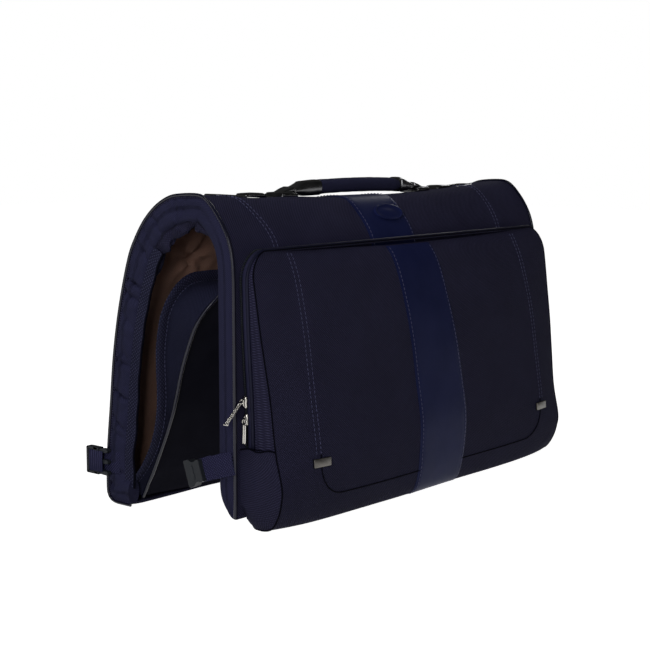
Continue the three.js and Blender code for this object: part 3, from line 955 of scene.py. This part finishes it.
# The zip chain: a tape on the shell's side and small teeth along it, cut off at the zip's lower ends.
zip_tape = Build()
zip_teeth = Build()
outline_strip(zip_tape, [
    (lambda at: ZIP_Y + 0.9, 1.2),
    (lambda at: ZIP_Y + 0.2, 0.2),
    (lambda at: ZIP_Y - 0.3, -1.6),
], flap_frames, 0.8)
TOOTH_FACES = [(0, 1, 3, 2), (4, 6, 7, 5), (0, 4, 5, 1), (2, 3, 7, 6), (0, 2, 6, 4), (1, 5, 7, 3)]
for (a, out_a), (b, _) in zip(flap_frames, flap_frames[1:]):
    gap = (b - a).length
    count = max(1, round(gap / 1.9))
    for k in range(count):
        centre = a.lerp(b, (k + 0.5) / count)
        along = (b - a).normalized()
        centre = Vector((centre.x, ZIP_Y - 0.5, centre.z)) + out_a * 0.7
        shape = [centre + along * (p * 0.6) + out_a * (q * 0.9) + Vector((0, r * 1.1, 0))
                 for p in (-1, 1) for q in (-1, 1) for r in (-1, 1)]
        zip_teeth.add(shape, TOOTH_FACES)
piece = zip_tape.make("pocket_zip_tape", TAPE)
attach(piece, "front_half")
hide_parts("pocket_zipper")
piece = zip_teeth.make("pocket_zip_teeth", PLASTIC)
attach(piece, "front_half")

# Lower boxed gussets: a tongue with a rounded foot on each side, below the zip's ends.
lower_gusset = Build()
# Near-black tubes along each gusset's seams: painted seam shadows.
lower_seam_shadows = Build()
for side in (-1, 1):
    rows = []
    seam = []
    for v in steps(0.0, PANEL_SPLIT, 40):
        half, y, z, _, _ = catmull(POCKET_PATH, v)
        slack = right_slack(v) if side > 0 else 0.0
        seam.append(Vector((side * half + slack, y + 0.4, z)))
    spine_heights = [lerp(8.5, 85.0, (k / 40) ** 1.3) for k in range(41)]
    spine = [Vector((side * lerp(260, 272, smooth(4, 30, z)), -77.6, z)) for z in spine_heights]
    for a, b in zip(seam, spine):
        row = []
        for t in steps(0, 1, 12):
            row.append(a.lerp(b, t) + Vector((side * 2.2 * math.sin(math.pi * min(1, t * 1.1)) ** 0.8, 0, 0)))
        rows.append(row)
    slab(lower_gusset, rows, 1.5 * side)
    tube(lower_seam_shadows, [p + Vector((side * 0.4, 0, 0)) for p in seam], 0.85, 6)
    wavy = [p + Vector((side * 0.5, 0, 1.2 * math.sin(i * 0.9))) for i, p in enumerate(rows[-1])]
    tube(lower_seam_shadows, wavy, 0.9, 6)
piece = lower_gusset.make("pocket_lower_gusset", NYLON)
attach(piece, "front_half")
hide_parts("pocket_lower_gusset_L", "pocket_lower_gusset_R")
piece = lower_seam_shadows.make("pocket_lower_seam", SEAM_SHADOW)
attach(piece, "front_half")

tabs = Build()
for side in (-1, 1):
    low, high = box_mm("pocket_tab_L")
    z = (low.z + high.z) / 2
    centre = on_pocket(side * 210, pocket_v(z), 1.6)
    above, below = (on_pocket(side * 210, pocket_v(z + dz), 1.6) for dz in (5, -5))
    slope = (above - below).normalized()
    outer, inner = (on_pocket(side * x, pocket_v(z), 1.6) for x in (218, 202))
    turn = (outer - inner).normalized() * side
    out = turn.cross(slope).normalized()
    bevelled(tabs, rounded_rectangle(12, 4.6, 1.2), -1.4, 0.9,
             lambda a, b, c: centre + turn * a + slope * b + out * c, 0.5)
piece = tabs.make("pocket_tabs", TAB)
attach(piece, "front_half")
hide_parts("pocket_tab_L", "pocket_tab_R")

# ---- badge: a plain oval with a rim and a raised oval in it -------------------------------------
badge = Build()
badge_stop = nearest_stop(-56, 324)
rings = []
for radius, height in ((1.0, 0.6), (1.0, 2.4), (0.97, 3.0), (0.90, 3.1), (0.86, 2.3), (0.80, 2.1), (0.5, 2.2),
                       (0.25, 2.3), (0.05, 2.35)):
    ring = []
    for k in range(48):
        angle = 2 * math.pi * k / 48
        relief = 0.8 * smooth(0.56, 0.3, radius)
        x = -1 + 25 * radius * math.cos(angle)
        s = badge_stop - 12 * radius * math.sin(angle)
        ring.append(skin_point(x, s) + shell_normal(s) * (height + 0.8 + relief))
    rings.append(ring)
loft(badge, rings)
piece = badge.make("badge_oval", LEATHER)
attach(piece, "spine_front")
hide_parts("badge")

# ---- carry handle, brackets and strap anchors ---------------------------------------------------
grip_low, grip_high = box_mm("handle_grip")
GRIP_HALF = grip_high.x
GRIP_Y = (grip_low.y + grip_high.y) / 2
GRIP_TOP = grip_high.z
grip = Build()
rings = []
for t in steps(-1, 1, 60):
    arch = 2.0 * (1 - t * t)
    taper = 1 - 0.25 * smooth(0.82, 1.0, abs(t))
    pinch = 1 - 0.05 * math.exp(-((abs(t) - 0.5) / 0.02) ** 2) - 0.04 * math.exp(-(t / 0.02) ** 2)
    ring = []
    for k in range(28):
        angle = 2 * math.pi * k / 28
        c, q = math.cos(angle), math.sin(angle)
        swell = 1 + 0.02 * ripple(t * 6, k / 4, 31.0)
        y = GRIP_Y + 10.8 * taper * pinch * swell * math.copysign(abs(c) ** 0.85, c)
        z = GRIP_TOP - 10.4 + arch + 8.3 * taper * pinch * swell * math.copysign(abs(q) ** 0.85, q)
        ring.append(Vector((t * GRIP_HALF, y, z)))
    rings.append(ring)
loft(grip, rings)
piece = grip.make("handle_sleeve", BAND)
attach(piece, "handle")
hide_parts("handle_grip")


def swept_block(build, stations, sides=20, power=0.5):
    """A rounded block through stations (x, y, z, half y, half z), with soft ends."""
    rings = []
    for x, y, z, hy, hz in stations:
        ring = []
        for k in range(sides):
            angle = 2 * math.pi * k / sides
            c, q = math.cos(angle), math.sin(angle)
            ring.append(Vector((x, y + hy * math.copysign(abs(c) ** power, c),
                                z + hz * math.copysign(abs(q) ** power, q))))
        rings.append(ring)
    loft(build, rings)


caps = Build()
brackets = Build()
for side in (-1, 1):
    inner = 66 if side < 0 else 83
    swept_block(caps, [(side * x, GRIP_Y, z, hy, hz) for x, z, hy, hz in (
        (inner, GRIP_TOP - 9.6, 10.0, 7.6), (inner + 1, GRIP_TOP - 9.8, 11.2, 8.9),
        (90, GRIP_TOP - 10.6, 11.2, 8.4), (93, GRIP_TOP - 11.0, 10.6, 7.4),
        (100, GRIP_TOP - 11.8, 9.6, 5.6), (107, GRIP_TOP - 12.4, 9.4, 3.8),
        (110, GRIP_TOP - 12.6, 9.2, 3.2), (110.6, GRIP_TOP - 12.6, 8.4, 2.4))], power=0.55)
    base = [(111.4, 5.5, 13.5), (112.0, 6.6, 14.6), (116, 7.2, 15.0), (126, 7.0, 15.0), (133, 6.6, 14.6),
            (136, 5.2, 13.6), (137, 2.6, 12.0)]
    swept_block(brackets, [(side * x, GRIP_Y, top_z(x) + 0.3 + h / 2, hy, h / 2) for x, h, hy in base],
                power=0.35)
    plate = [(111.4, 7.0, 12.6, 8.0), (112.4, 6.6, 13.4, 9.2), (118, 6.6, 11.6, 9.0), (125, 6.4, 8.8, 8.2),
             (129, 6.2, 7.4, 7.2)]
    swept_block(brackets, [(side * x, GRIP_Y, top_z(x) + (bottom + top) / 2, hy, (top - bottom) / 2)
                           for x, bottom, top, hy in plate], power=0.4)
piece = caps.make("handle_end_caps", GUNMETAL)
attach(piece, "handle")
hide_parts("handle_cap_L", "handle_cap_R")
piece = brackets.make("handle_brackets", GUNMETAL)
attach(piece, "spine_mid")
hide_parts("handle_bracket_L", "handle_bracket_R")

anchors = Build()
for side in (-1, 1):
    base = [(158, 1.5, 9.0), (159, 3.8, 10.4), (163, 5.2, 11.0), (168, 5.4, 11.0), (178, 4.8, 10.6),
            (185, 4.2, 10.2), (187, 2.4, 9.5)]
    swept_block(anchors, [(side * x, GRIP_Y, top_z(x) + 0.5 + h / 2, hy, h / 2) for x, h, hy in base],
                power=0.4)
piece = anchors.make("strap_anchors", GUNMETAL)
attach(piece, "spine_mid")
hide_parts("strap_base_L", "strap_base_R")

for side, name in ((-1, "L"), (1, "R")):
    ring_low, ring_high = box_mm(f"strap_ring_{name}")
    inner = min(abs(ring_low.x), abs(ring_high.x))
    outer = max(abs(ring_low.x), abs(ring_high.x))
    half_y = (ring_high.y - ring_low.y) / 2
    y = (ring_low.y + ring_high.y) / 2
    loop_points = rounded_rectangle((outer - inner) / 2 - 2, half_y - 2, 7, ((inner + outer) / 2, 0), 8)
    path = [Vector((side * a, y + b, top_z(a) + 0.9)) for a, b in loop_points]
    path += path[:2]
    ring = Build()
    tube(ring, path, 2.0, 10, 0.75)
    piece = ring.make(f"strap_ring_bar_{name}", GUNMETAL)
    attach(piece, "ring_left" if side < 0 else "ring_right")
    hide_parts(f"strap_ring_{name}")

# ---- inner cover with its wedge pocket ----------------------------------------------------------
COVER_FOOT_Y, COVER_FOOT_Z = 80.0, 6.0
COVER_TILT = math.radians(10.6)
COVER_HEIGHT = 254.0
COVER_HALF = 275.0
COVER_CORNER = 50.0
WEDGE_HALF = 261.0
WEDGE_TOP = 245.0
WEDGE_CORNER = 44.0
WEDGE_PROFILE = [(12, 69), (40, 50), (74, 33), (113, 17), (150, 1), (192, -20), (230, -33), (245, -38)]
WEDGE_END_PROFILE = [
    (6, 81), (15, 76), (37, 63.5), (66, 49.5), (97, 35.5), (122, 26.5), (143, 20.5), (164, 13.5), (182, 6),
    (200, -2.5), (217, -12.5), (230, -21), (245, -28),
]
COVER_END_PROFILE = [
    (2, 108), (14, 96), (25, 84), (43, 68.5), (65, 54.5), (93, 44), (122, 40), (162, 41), (181, 40),
    (205, 35.5), (223, 31), (240, 28), (262, 27),
]


def profile_y(profile, z):
    """The y of a (z, y) profile at height z."""
    i = 0
    while i < len(profile) - 2 and profile[i + 1][0] < z:
        i += 1
    (z0, _), (z1, _) = profile[i], profile[i + 1]
    return catmull(profile, i + (z - z0) / (z1 - z0))[1]


def cover_point(x, height, out=0.0):
    """The sheet hangs straight in the middle, and its two ends belly forward and sweep back to the foot."""
    z = COVER_FOOT_Z + height * math.cos(COVER_TILT)
    straight = COVER_FOOT_Y - height * math.sin(COVER_TILT)
    bellied = profile_y(COVER_END_PROFILE, z)
    y = lerp(straight, bellied, smooth(130, 268, abs(x)))
    return Vector((x, y - out * math.cos(COVER_TILT), z - out * math.sin(COVER_TILT)))


def wedge_y(x, z):
    """The wedge's front, kept clear of the sheet behind it."""
    along = lerp(profile_y(WEDGE_PROFILE, z), profile_y(WEDGE_END_PROFILE, z), smooth(150, 255, abs(x)))
    return min(along, cover_point(x, (z - COVER_FOOT_Z) / math.cos(COVER_TILT)).y - 3.0)


def rounded_arch(half, top, corner, bottom, side_count=28, corner_count=14, top_count=24):
    """Up the left side, round both top corners, and down the right, as (x, height, out x, out height)."""
    points = [(-half, h, -1.0, 0.0) for h in steps(bottom, top - corner, side_count)]
    for k in range(1, corner_count + 1):
        a = math.radians(180 - 90 * k / corner_count)
        points.append((-half + corner + corner * math.cos(a), top - corner + corner * math.sin(a),
                       math.cos(a), math.sin(a)))
    points += [(x, top, 0.0, 1.0) for x in steps(-half + corner, 0, top_count)[1:]]
    return points + [(-x, h, -ox, oh) for x, h, ox, oh in reversed(points[:-1])]


cover_edge = rounded_arch(COVER_HALF, COVER_HEIGHT, COVER_CORNER, 2.0)
cover_panel = Build()
left = cover_edge[:len(cover_edge) // 2 + 1]
rows = []
for x, h, _, _ in left[:-20]:
    rows.append([cover_point(lerp(x, -x, t), h, 0.6 * ripple(t * 5, h / 50, 8.0)) for t in steps(0, 1, 30)])
slab(cover_panel, rows, -1.6)
piece = cover_panel.make("cover_sheet", COVER)
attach(piece, "cover")
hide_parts("cover_panel")

BIND = 12.0
binding = Build()
rows = []
for x, h, ox, oh in cover_edge:
    row = []
    for inward, out in ((-0.8, 0.0), (0.6, 2.0), (4.0, 2.7), (8.5, 2.6), (BIND - 0.6, 1.9), (BIND, 0.4)):
        pucker = 0.25 * ripple(h / 9 + x / 9, inward, 4.0)
        row.append(cover_point(x - ox * inward, h - oh * inward, out + pucker))
    rows.append(row)
slab(binding, rows, 1.2)
piece = binding.make("cover_binding", TAPE)
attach(piece, "cover")
bind_threads = Build()
path = [cover_point(x - ox * (BIND - 2), h - oh * (BIND - 2), 2.7) for x, h, ox, oh in cover_edge]
stitches(bind_threads, path, [Vector((0, -1, 0))] * len(path))
piece = bind_threads.make("cover_stitching", THREAD)
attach(piece, "cover")

wedge_edge = rounded_arch(WEDGE_HALF, WEDGE_TOP, WEDGE_CORNER, 8.0)
wedge_face = Build()
left = wedge_edge[:len(wedge_edge) // 2 + 1]
rows = []
for x, z, _, _ in left[:-20]:
    row = []
    for t in steps(-1, 1, 36):
        belly = 2.5 * (1 - t ** 4) + 0.8 * ripple(t * 4, z / 60, 13.0)
        row.append(Vector((-x * t, wedge_y(x * t, z) - belly, z)))
    rows.append(row)
slab(wedge_face, rows, 1.6)
# The face's near-black colour is painted shade.
piece = wedge_face.make("wedge_face", WEDGE_SHADE_CLOTH)
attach(piece, "cover")
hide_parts("cover_pocket_face")

wedge_gusset = Build()
inner_edge = rounded_arch(COVER_HALF - BIND + 1, COVER_HEIGHT - BIND + 1, COVER_CORNER - BIND + 1, 8.0)
rows = []
for (x0, h0, _, _), (x1, z1, ox, oz) in zip(inner_edge, wedge_edge):
    back = cover_point(x0, h0, 1.0)
    front = Vector((x1, wedge_y(x1, z1), z1))
    span = (front - back).length
    row = []
    for t in steps(0, 1, 14):
        p = back.lerp(front, t)
        wrinkle = 1.4 * ripple(h0 / 34 + x0 / 40, t * 2.2, 41.0) * min(1, span / 25)
        puff = math.sin(math.pi * t) * (0.05 * span + wrinkle)
        row.append(p + Vector((ox, 0, oz)) * puff)
    rows.append(row)
slab(wedge_gusset, rows, 1.2)
piece = wedge_gusset.make("wedge_gusset", COVER)
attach(piece, "cover")
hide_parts("cover_pocket_gusset_L", "cover_pocket_gusset_R")

wedge_piping = Build()
piping_path = [Vector((x + ox * 0.8, wedge_y(x, z) - 1.2, z + oz * 0.8)) for x, z, ox, oz in wedge_edge]
tube(wedge_piping, piping_path, 2.0, 12)
piece = wedge_piping.make("wedge_piping", PIPING)
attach(piece, "cover")


# ---- gathered cloth under the arch's ends -------------------------------------------------------
def gather_ring(side, s, sides=20):
    """Loose cloth bunched inside the band: an uneven, kinked roll."""
    fade = smooth(fold_stops[0] + 8, fold_stops[0] + 50, s)
    fade *= smooth(fold_stops[3] + 46, fold_stops[3] - 16, s)
    sway = ripple(s / 38, side * 5.0, 51.0)
    radius = 2.5 + fade * (5.5 + 4.5 * sway)
    centre = band_depth(s) + radius * 0.5 - 2
    ring = []
    for k in range(sides):
        angle = 2 * math.pi * k / sides
        crumple = 1 + fade * 0.42 * ripple(s / 21, math.cos(angle) * 1.1, math.sin(angle) * 1.1 + side * 9)
        x = HALF_WIDTH - 9 + 7.0 * fade * crumple * math.cos(angle) + 3.0 * sway
        ring.append(shell_point(side * x, s, centre + radius * crumple * math.sin(angle)))
    return ring


for i in range(4):
    low = max(cut_stops[i], fold_stops[0] + 8)
    high = min(cut_stops[i + 1], fold_stops[3] + 46)
    gathers = Build()
    for side in (-1, 1):
        loft(gathers, [gather_ring(side, s) for s in path_stops(low, high, 2.0)])
    piece = gathers.make(f"arch_gathers_{i + 1}", NYLON)
    across_fold(piece, i)

# ---- compression straps and buckles -------------------------------------------------------------
WEB_OUT = 1.3


def web_strip(build, side, path, half, thickness=1.4):
    """Flat webbing on edge: path of (y, z, out) centres, half its width in z."""
    rows = []
    for i, (y, z, out) in enumerate(path):
        y0, z0, _ = path[max(0, i - 1)]
        y1, z1, _ = path[min(len(path) - 1, i + 1)]
        run = math.hypot(y1 - y0, z1 - z0) or 1.0
        up_y, up_z = -(z1 - z0) / run, (y1 - y0) / run
        if up_z < 0:
            up_y, up_z = -up_y, -up_z
        rows.append([Vector((side * (HALF_WIDTH + out + 0.25 * math.cos(w * math.pi)),
                             y + w * half * up_y, z + w * half * up_z)) for w in steps(-1, 1, 8)])
    slab(build, rows, thickness * side)


for side, name, body in ((-1, "L", "left"), (1, "R", "right")):
    web = Build()
    front_path = []
    for t in steps(0, 1, 14):
        puff = 2.0 * math.sin(math.pi * t) ** 2 + 1.8 * t
        front_path.append((lerp(-77, -34, t), lerp(71, 57.5, t ** 1.1), WEB_OUT + puff))
    web_strip(web, side, front_path, 12.2)
    loop_path = [(lerp(-52, -34, t), lerp(64.5, 57.5, t), 4.2 + 2.0 * t) for t in steps(0, 1, 6)]
    web_strip(web, side, loop_path, 12.2)
    piece = web.make(f"front_web_{name}", WEBBING)
    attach(piece, f"front_strap_{body}")
    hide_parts(f"webbing_front_{name}")

    female = Build()
    low, high = box_mm(f"buckle_female_{name}")
    cy, cz = (low.y + high.y) / 2, (low.z + high.z) / 2
    hy, hz = 11.0, 14.5
    near, far = HALF_WIDTH + 2.6, HALF_WIDTH + 12.3
    slope = math.radians(-19)

    def socket_place(a, b, c):
        return (side * lerp(near, far, c), cy + a * math.cos(slope) - b * math.sin(slope),
                cz + a * math.sin(slope) + b * math.cos(slope))

    profile = [(-hy, -hz * 0.78), (-hy * 0.7, -hz * 0.82), (-hy * 0.35, -hz * 0.72), (0, -hz * 0.76),
               (hy * 0.3, -hz * 0.98), (hy * 0.9, -hz), (hy, -hz * 0.9), (hy, hz * 0.9), (hy * 0.9, hz),
               (hy * 0.3, hz * 0.98), (0, hz * 0.76), (-hy * 0.35, hz * 0.72), (-hy * 0.7, hz * 0.82),
               (-hy, hz * 0.78)]
    bevelled(female, profile, 0, 1, socket_place, 0.12)
    button = rounded_rectangle(hy * 0.42, hz * 0.55, 2.0, (hy * 0.35, 0))
    bevelled(female, button, 0.92, 1.05, socket_place, 0.04)
    piece = female.make(f"buckle_socket_{name}", PLASTIC)
    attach(piece, f"front_strap_{body}")
    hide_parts(f"buckle_female_{name}")

    web = Build()
    back_path = [(lerp(93, 128, t), 47, WEB_OUT + 1.6 * t) for t in steps(0, 1, 8)]
    web_strip(web, side, back_path, 12.2)
    loop = []
    for k in range(13):
        a = math.pi * k / 12
        loop.append((129 + 8 * math.sin(a), 47, 7.5 - 4.2 * math.cos(a)))
    web_strip(web, side, [(120, 47, 3.3)] + loop + [(112, 47, 11.7)], 11.6)
    piece = web.make(f"back_web_{name}", WEBBING)
    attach(piece, f"back_strap_{body}")
    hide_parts(f"webbing_back_{name}")

    male = Build()
    low, high = box_mm(f"buckle_male_{name}")
    cz = (low.z + high.z) / 2
    front_y, rear_y = low.y, high.y
    out0, out1 = HALF_WIDTH + 3.6, HALF_WIDTH + 11.4

    def plug_place(a, b, c):
        return (side * lerp(out0, out1, c), a, cz + b)

    front_bar = [(front_y + 16, -14.5), (front_y + 22, -15), (front_y + 22, 15), (front_y + 16, 14.5)]
    bevelled(male, front_bar, 0, 1, plug_place, 0.12)
    rear_bar = [(rear_y - 4.5, -15), (rear_y - 1, -14), (rear_y - 1, 14), (rear_y - 4.5, 15)]
    bevelled(male, rear_bar, 0, 1, plug_place, 0.12)
    for top in (-1, 1):
        bevelled(male, [(front_y + 14, top * 15), (rear_y - 2, top * 15), (rear_y - 2, top * 12.2),
                        (front_y + 14, top * 12.2)][::top], 0, 1, plug_place, 0.1)
        prong = [(front_y + 17, top * 13.5), (front_y + 8, top * 14.6), (front_y + 2, top * 14.8),
                 (front_y, top * 12.5), (front_y + 2, top * 10.4), (front_y + 8, top * 10.2),
                 (front_y + 17, top * 8.8)]
        bevelled(male, prong[::top], 0.15, 0.85, plug_place, 0.1)
    guide = [(front_y + 17, -2.6), (front_y + 1, -2.0), (front_y, 0), (front_y + 1, 2.0), (front_y + 17, 2.6)]
    bevelled(male, guide, 0.2, 0.8, plug_place, 0.1)
    piece = male.make(f"buckle_plug_{name}", PLASTIC)
    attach(piece, f"back_strap_{body}")
    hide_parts(f"buckle_male_{name}")

# ---- zip sliders and pulls ----------------------------------------------------------------------
for level in ("upper", "lower"):
    low, high = box_mm(f"zip_slider_{level}")
    centre = (low + high) / 2
    slider = Build()
    swept = [(-6, 2.2, 1.6), (-5, 3.0, 2.2), (-1, 2.6, 2.4), (2, 3.0, 2.6), (5, 3.2, 2.4), (6, 2.2, 1.6)]
    rings = []
    for dz, hy, hx in swept:
        rings.append([Vector((centre.x + hx * math.cos(a), centre.y + 1.0 + hy * math.sin(a), centre.z + dz))
                      for a in steps(0, 2 * math.pi * 15 / 16, 15)])
    loft(slider, rings)
    arch = [Vector((centre.x - 1.5 - 2.6 * math.sin(a), centre.y, centre.z - 4.2 * math.cos(a)))
            for a in steps(0, math.pi, 10)]
    tube(slider, arch, 0.9, 8)
    piece = slider.make(f"zip_slider_body_{level}", NICKEL)
    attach(piece, f"slider_{level}")
    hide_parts(f"zip_slider_{level}")

UPPER_PULL_STRETCH = 1.45
for level in ("upper", "lower"):
    low, high = box_mm(f"zip_pull_{level}")
    pull = Build()
    y = (low.y + high.y) / 2
    top = Vector((high.x - 0.8, y, high.z - 0.6))
    tip = Vector((low.x + 0.8, y, low.z + 0.6))
    if level == "upper":
        tip = top.lerp(tip, UPPER_PULL_STRETCH)
    along = tip - top
    reach = along.length
    along.normalize()
    across = Vector((0, 1, 0))
    ring_path = [top + along * (3.2 - 3.0 * math.cos(a)) + across * (3.0 * math.sin(a))
                 for a in steps(0, 2 * math.pi, 20)]
    tube(pull, ring_path, 0.75, 8)
    bar_stations = ((6.0, 1.0), (8.0, 1.2), (reach * 0.6, 1.2), (reach, 1.3))
    for bar in (-1, 1):
        tube(pull, [top + along * t + across * (bar * w) for t, w in bar_stations], 1.0, 8)
    for t, half in ((6.4, 2.0), (reach, 2.8)):
        tube(pull, [top + along * t - across * half, top + along * t + across * half], 0.9, 8)
    piece = pull.make(f"zip_pull_bar_{level}", NICKEL)
    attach(piece, f"pull_{level}")
    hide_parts(f"zip_pull_{level}")

# ---- CAD nodes that keep their own shape --------------------------------------------------------
for node, material in (("hanger_bracket", PLASTIC), ("hanger_clamp", NICKEL)):
    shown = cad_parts[node]
    shown.data.materials.clear()
    shown.data.materials.append(material)

# ---- floor, light and camera --------------------------------------------------------------------
floor_mesh = bpy.data.meshes.new("floor")
floor_corners = [(-6, -6, -0.001), (6, -6, -0.001), (6, 6, -0.001), (-6, 6, -0.001)]
floor_mesh.from_pydata(floor_corners, [], [(0, 1, 2, 3)])
floor = bpy.data.objects.new("floor", floor_mesh)
bpy.context.scene.collection.objects.link(floor)
floor.visible_diffuse = False
paper = Shader("pale_floor", 0.9, 0.0)
paper.surface.inputs["Base Color"].default_value = (0.8, 0.8, 0.8, 1)
paper.surface.inputs["Emission Color"].default_value = (1, 1, 1, 1)
paper.surface.inputs["Emission Strength"].default_value = 1.0
floor_mesh.materials.append(paper.material)
floor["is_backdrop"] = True

# The studio is dim for the object and white behind it.
STUDIO_FILL = 0.06
world = bpy.data.worlds.new("studio")
bpy.context.scene.world = world
world.use_nodes = True
background = world.node_tree.nodes["Background"]
background.inputs["Color"].default_value = (1, 1, 1, 1)
seen = world.node_tree.nodes.new("ShaderNodeLightPath")
level = world.node_tree.nodes.new("ShaderNodeMapRange")
level.inputs["To Min"].default_value = STUDIO_FILL
level.inputs["To Max"].default_value = 1.0
world.node_tree.links.new(seen.outputs["Is Camera Ray"], level.inputs["Value"])
world.node_tree.links.new(level.outputs[0], background.inputs["Strength"])
bpy.context.scene.view_settings.view_transform = "Standard"


def area_light(name, place, target, size, power):
    data = bpy.data.lights.new(name, "AREA")
    data.shape = "RECTANGLE"
    data.size, data.size_y = size
    data.energy = power
    made = bpy.data.objects.new(name, data)
    made.location = place
    made.rotation_mode = "QUATERNION"
    made.rotation_quaternion = (Vector(target) - Vector(place)).to_track_quat("-Z", "Y")
    bpy.context.scene.collection.objects.link(made)


area_light("key_left", (-1.8, -0.85, 0.62), (-0.15, 0, 0.17), (0.7, 0.8), 10)
area_light("front_soft", (-0.5, -1.9, 1.2), (0, -0.1, 0.15), (1.4, 0.9), 2.6)
area_light("top_left", (-0.9, 0.1, 1.5), (-0.15, 0, 0.3), (0.25, 0.5), 3)
area_light("rim_right", (1.3, 0.5, 0.9), (0.28, 0, 0.3), (0.2, 0.5), 2)

camera_data = bpy.data.cameras.new("camera")
camera_data.lens = 80.86
camera_data.sensor_width = 36
camera_data.clip_end = 100
camera = bpy.data.objects.new("camera", camera_data)
camera.location = (-1.3338, -1.0814, 0.3986)
azimuth, pitch = math.radians(50), math.radians(7.299)
look = Vector((math.sin(azimuth) * math.cos(pitch), math.cos(azimuth) * math.cos(pitch), -math.sin(pitch)))
camera.rotation_mode = "QUATERNION"
camera.rotation_quaternion = look.to_track_quat("-Z", "Y")
bpy.context.scene.collection.objects.link(camera)
bpy.context.scene.camera = camera

low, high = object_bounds()
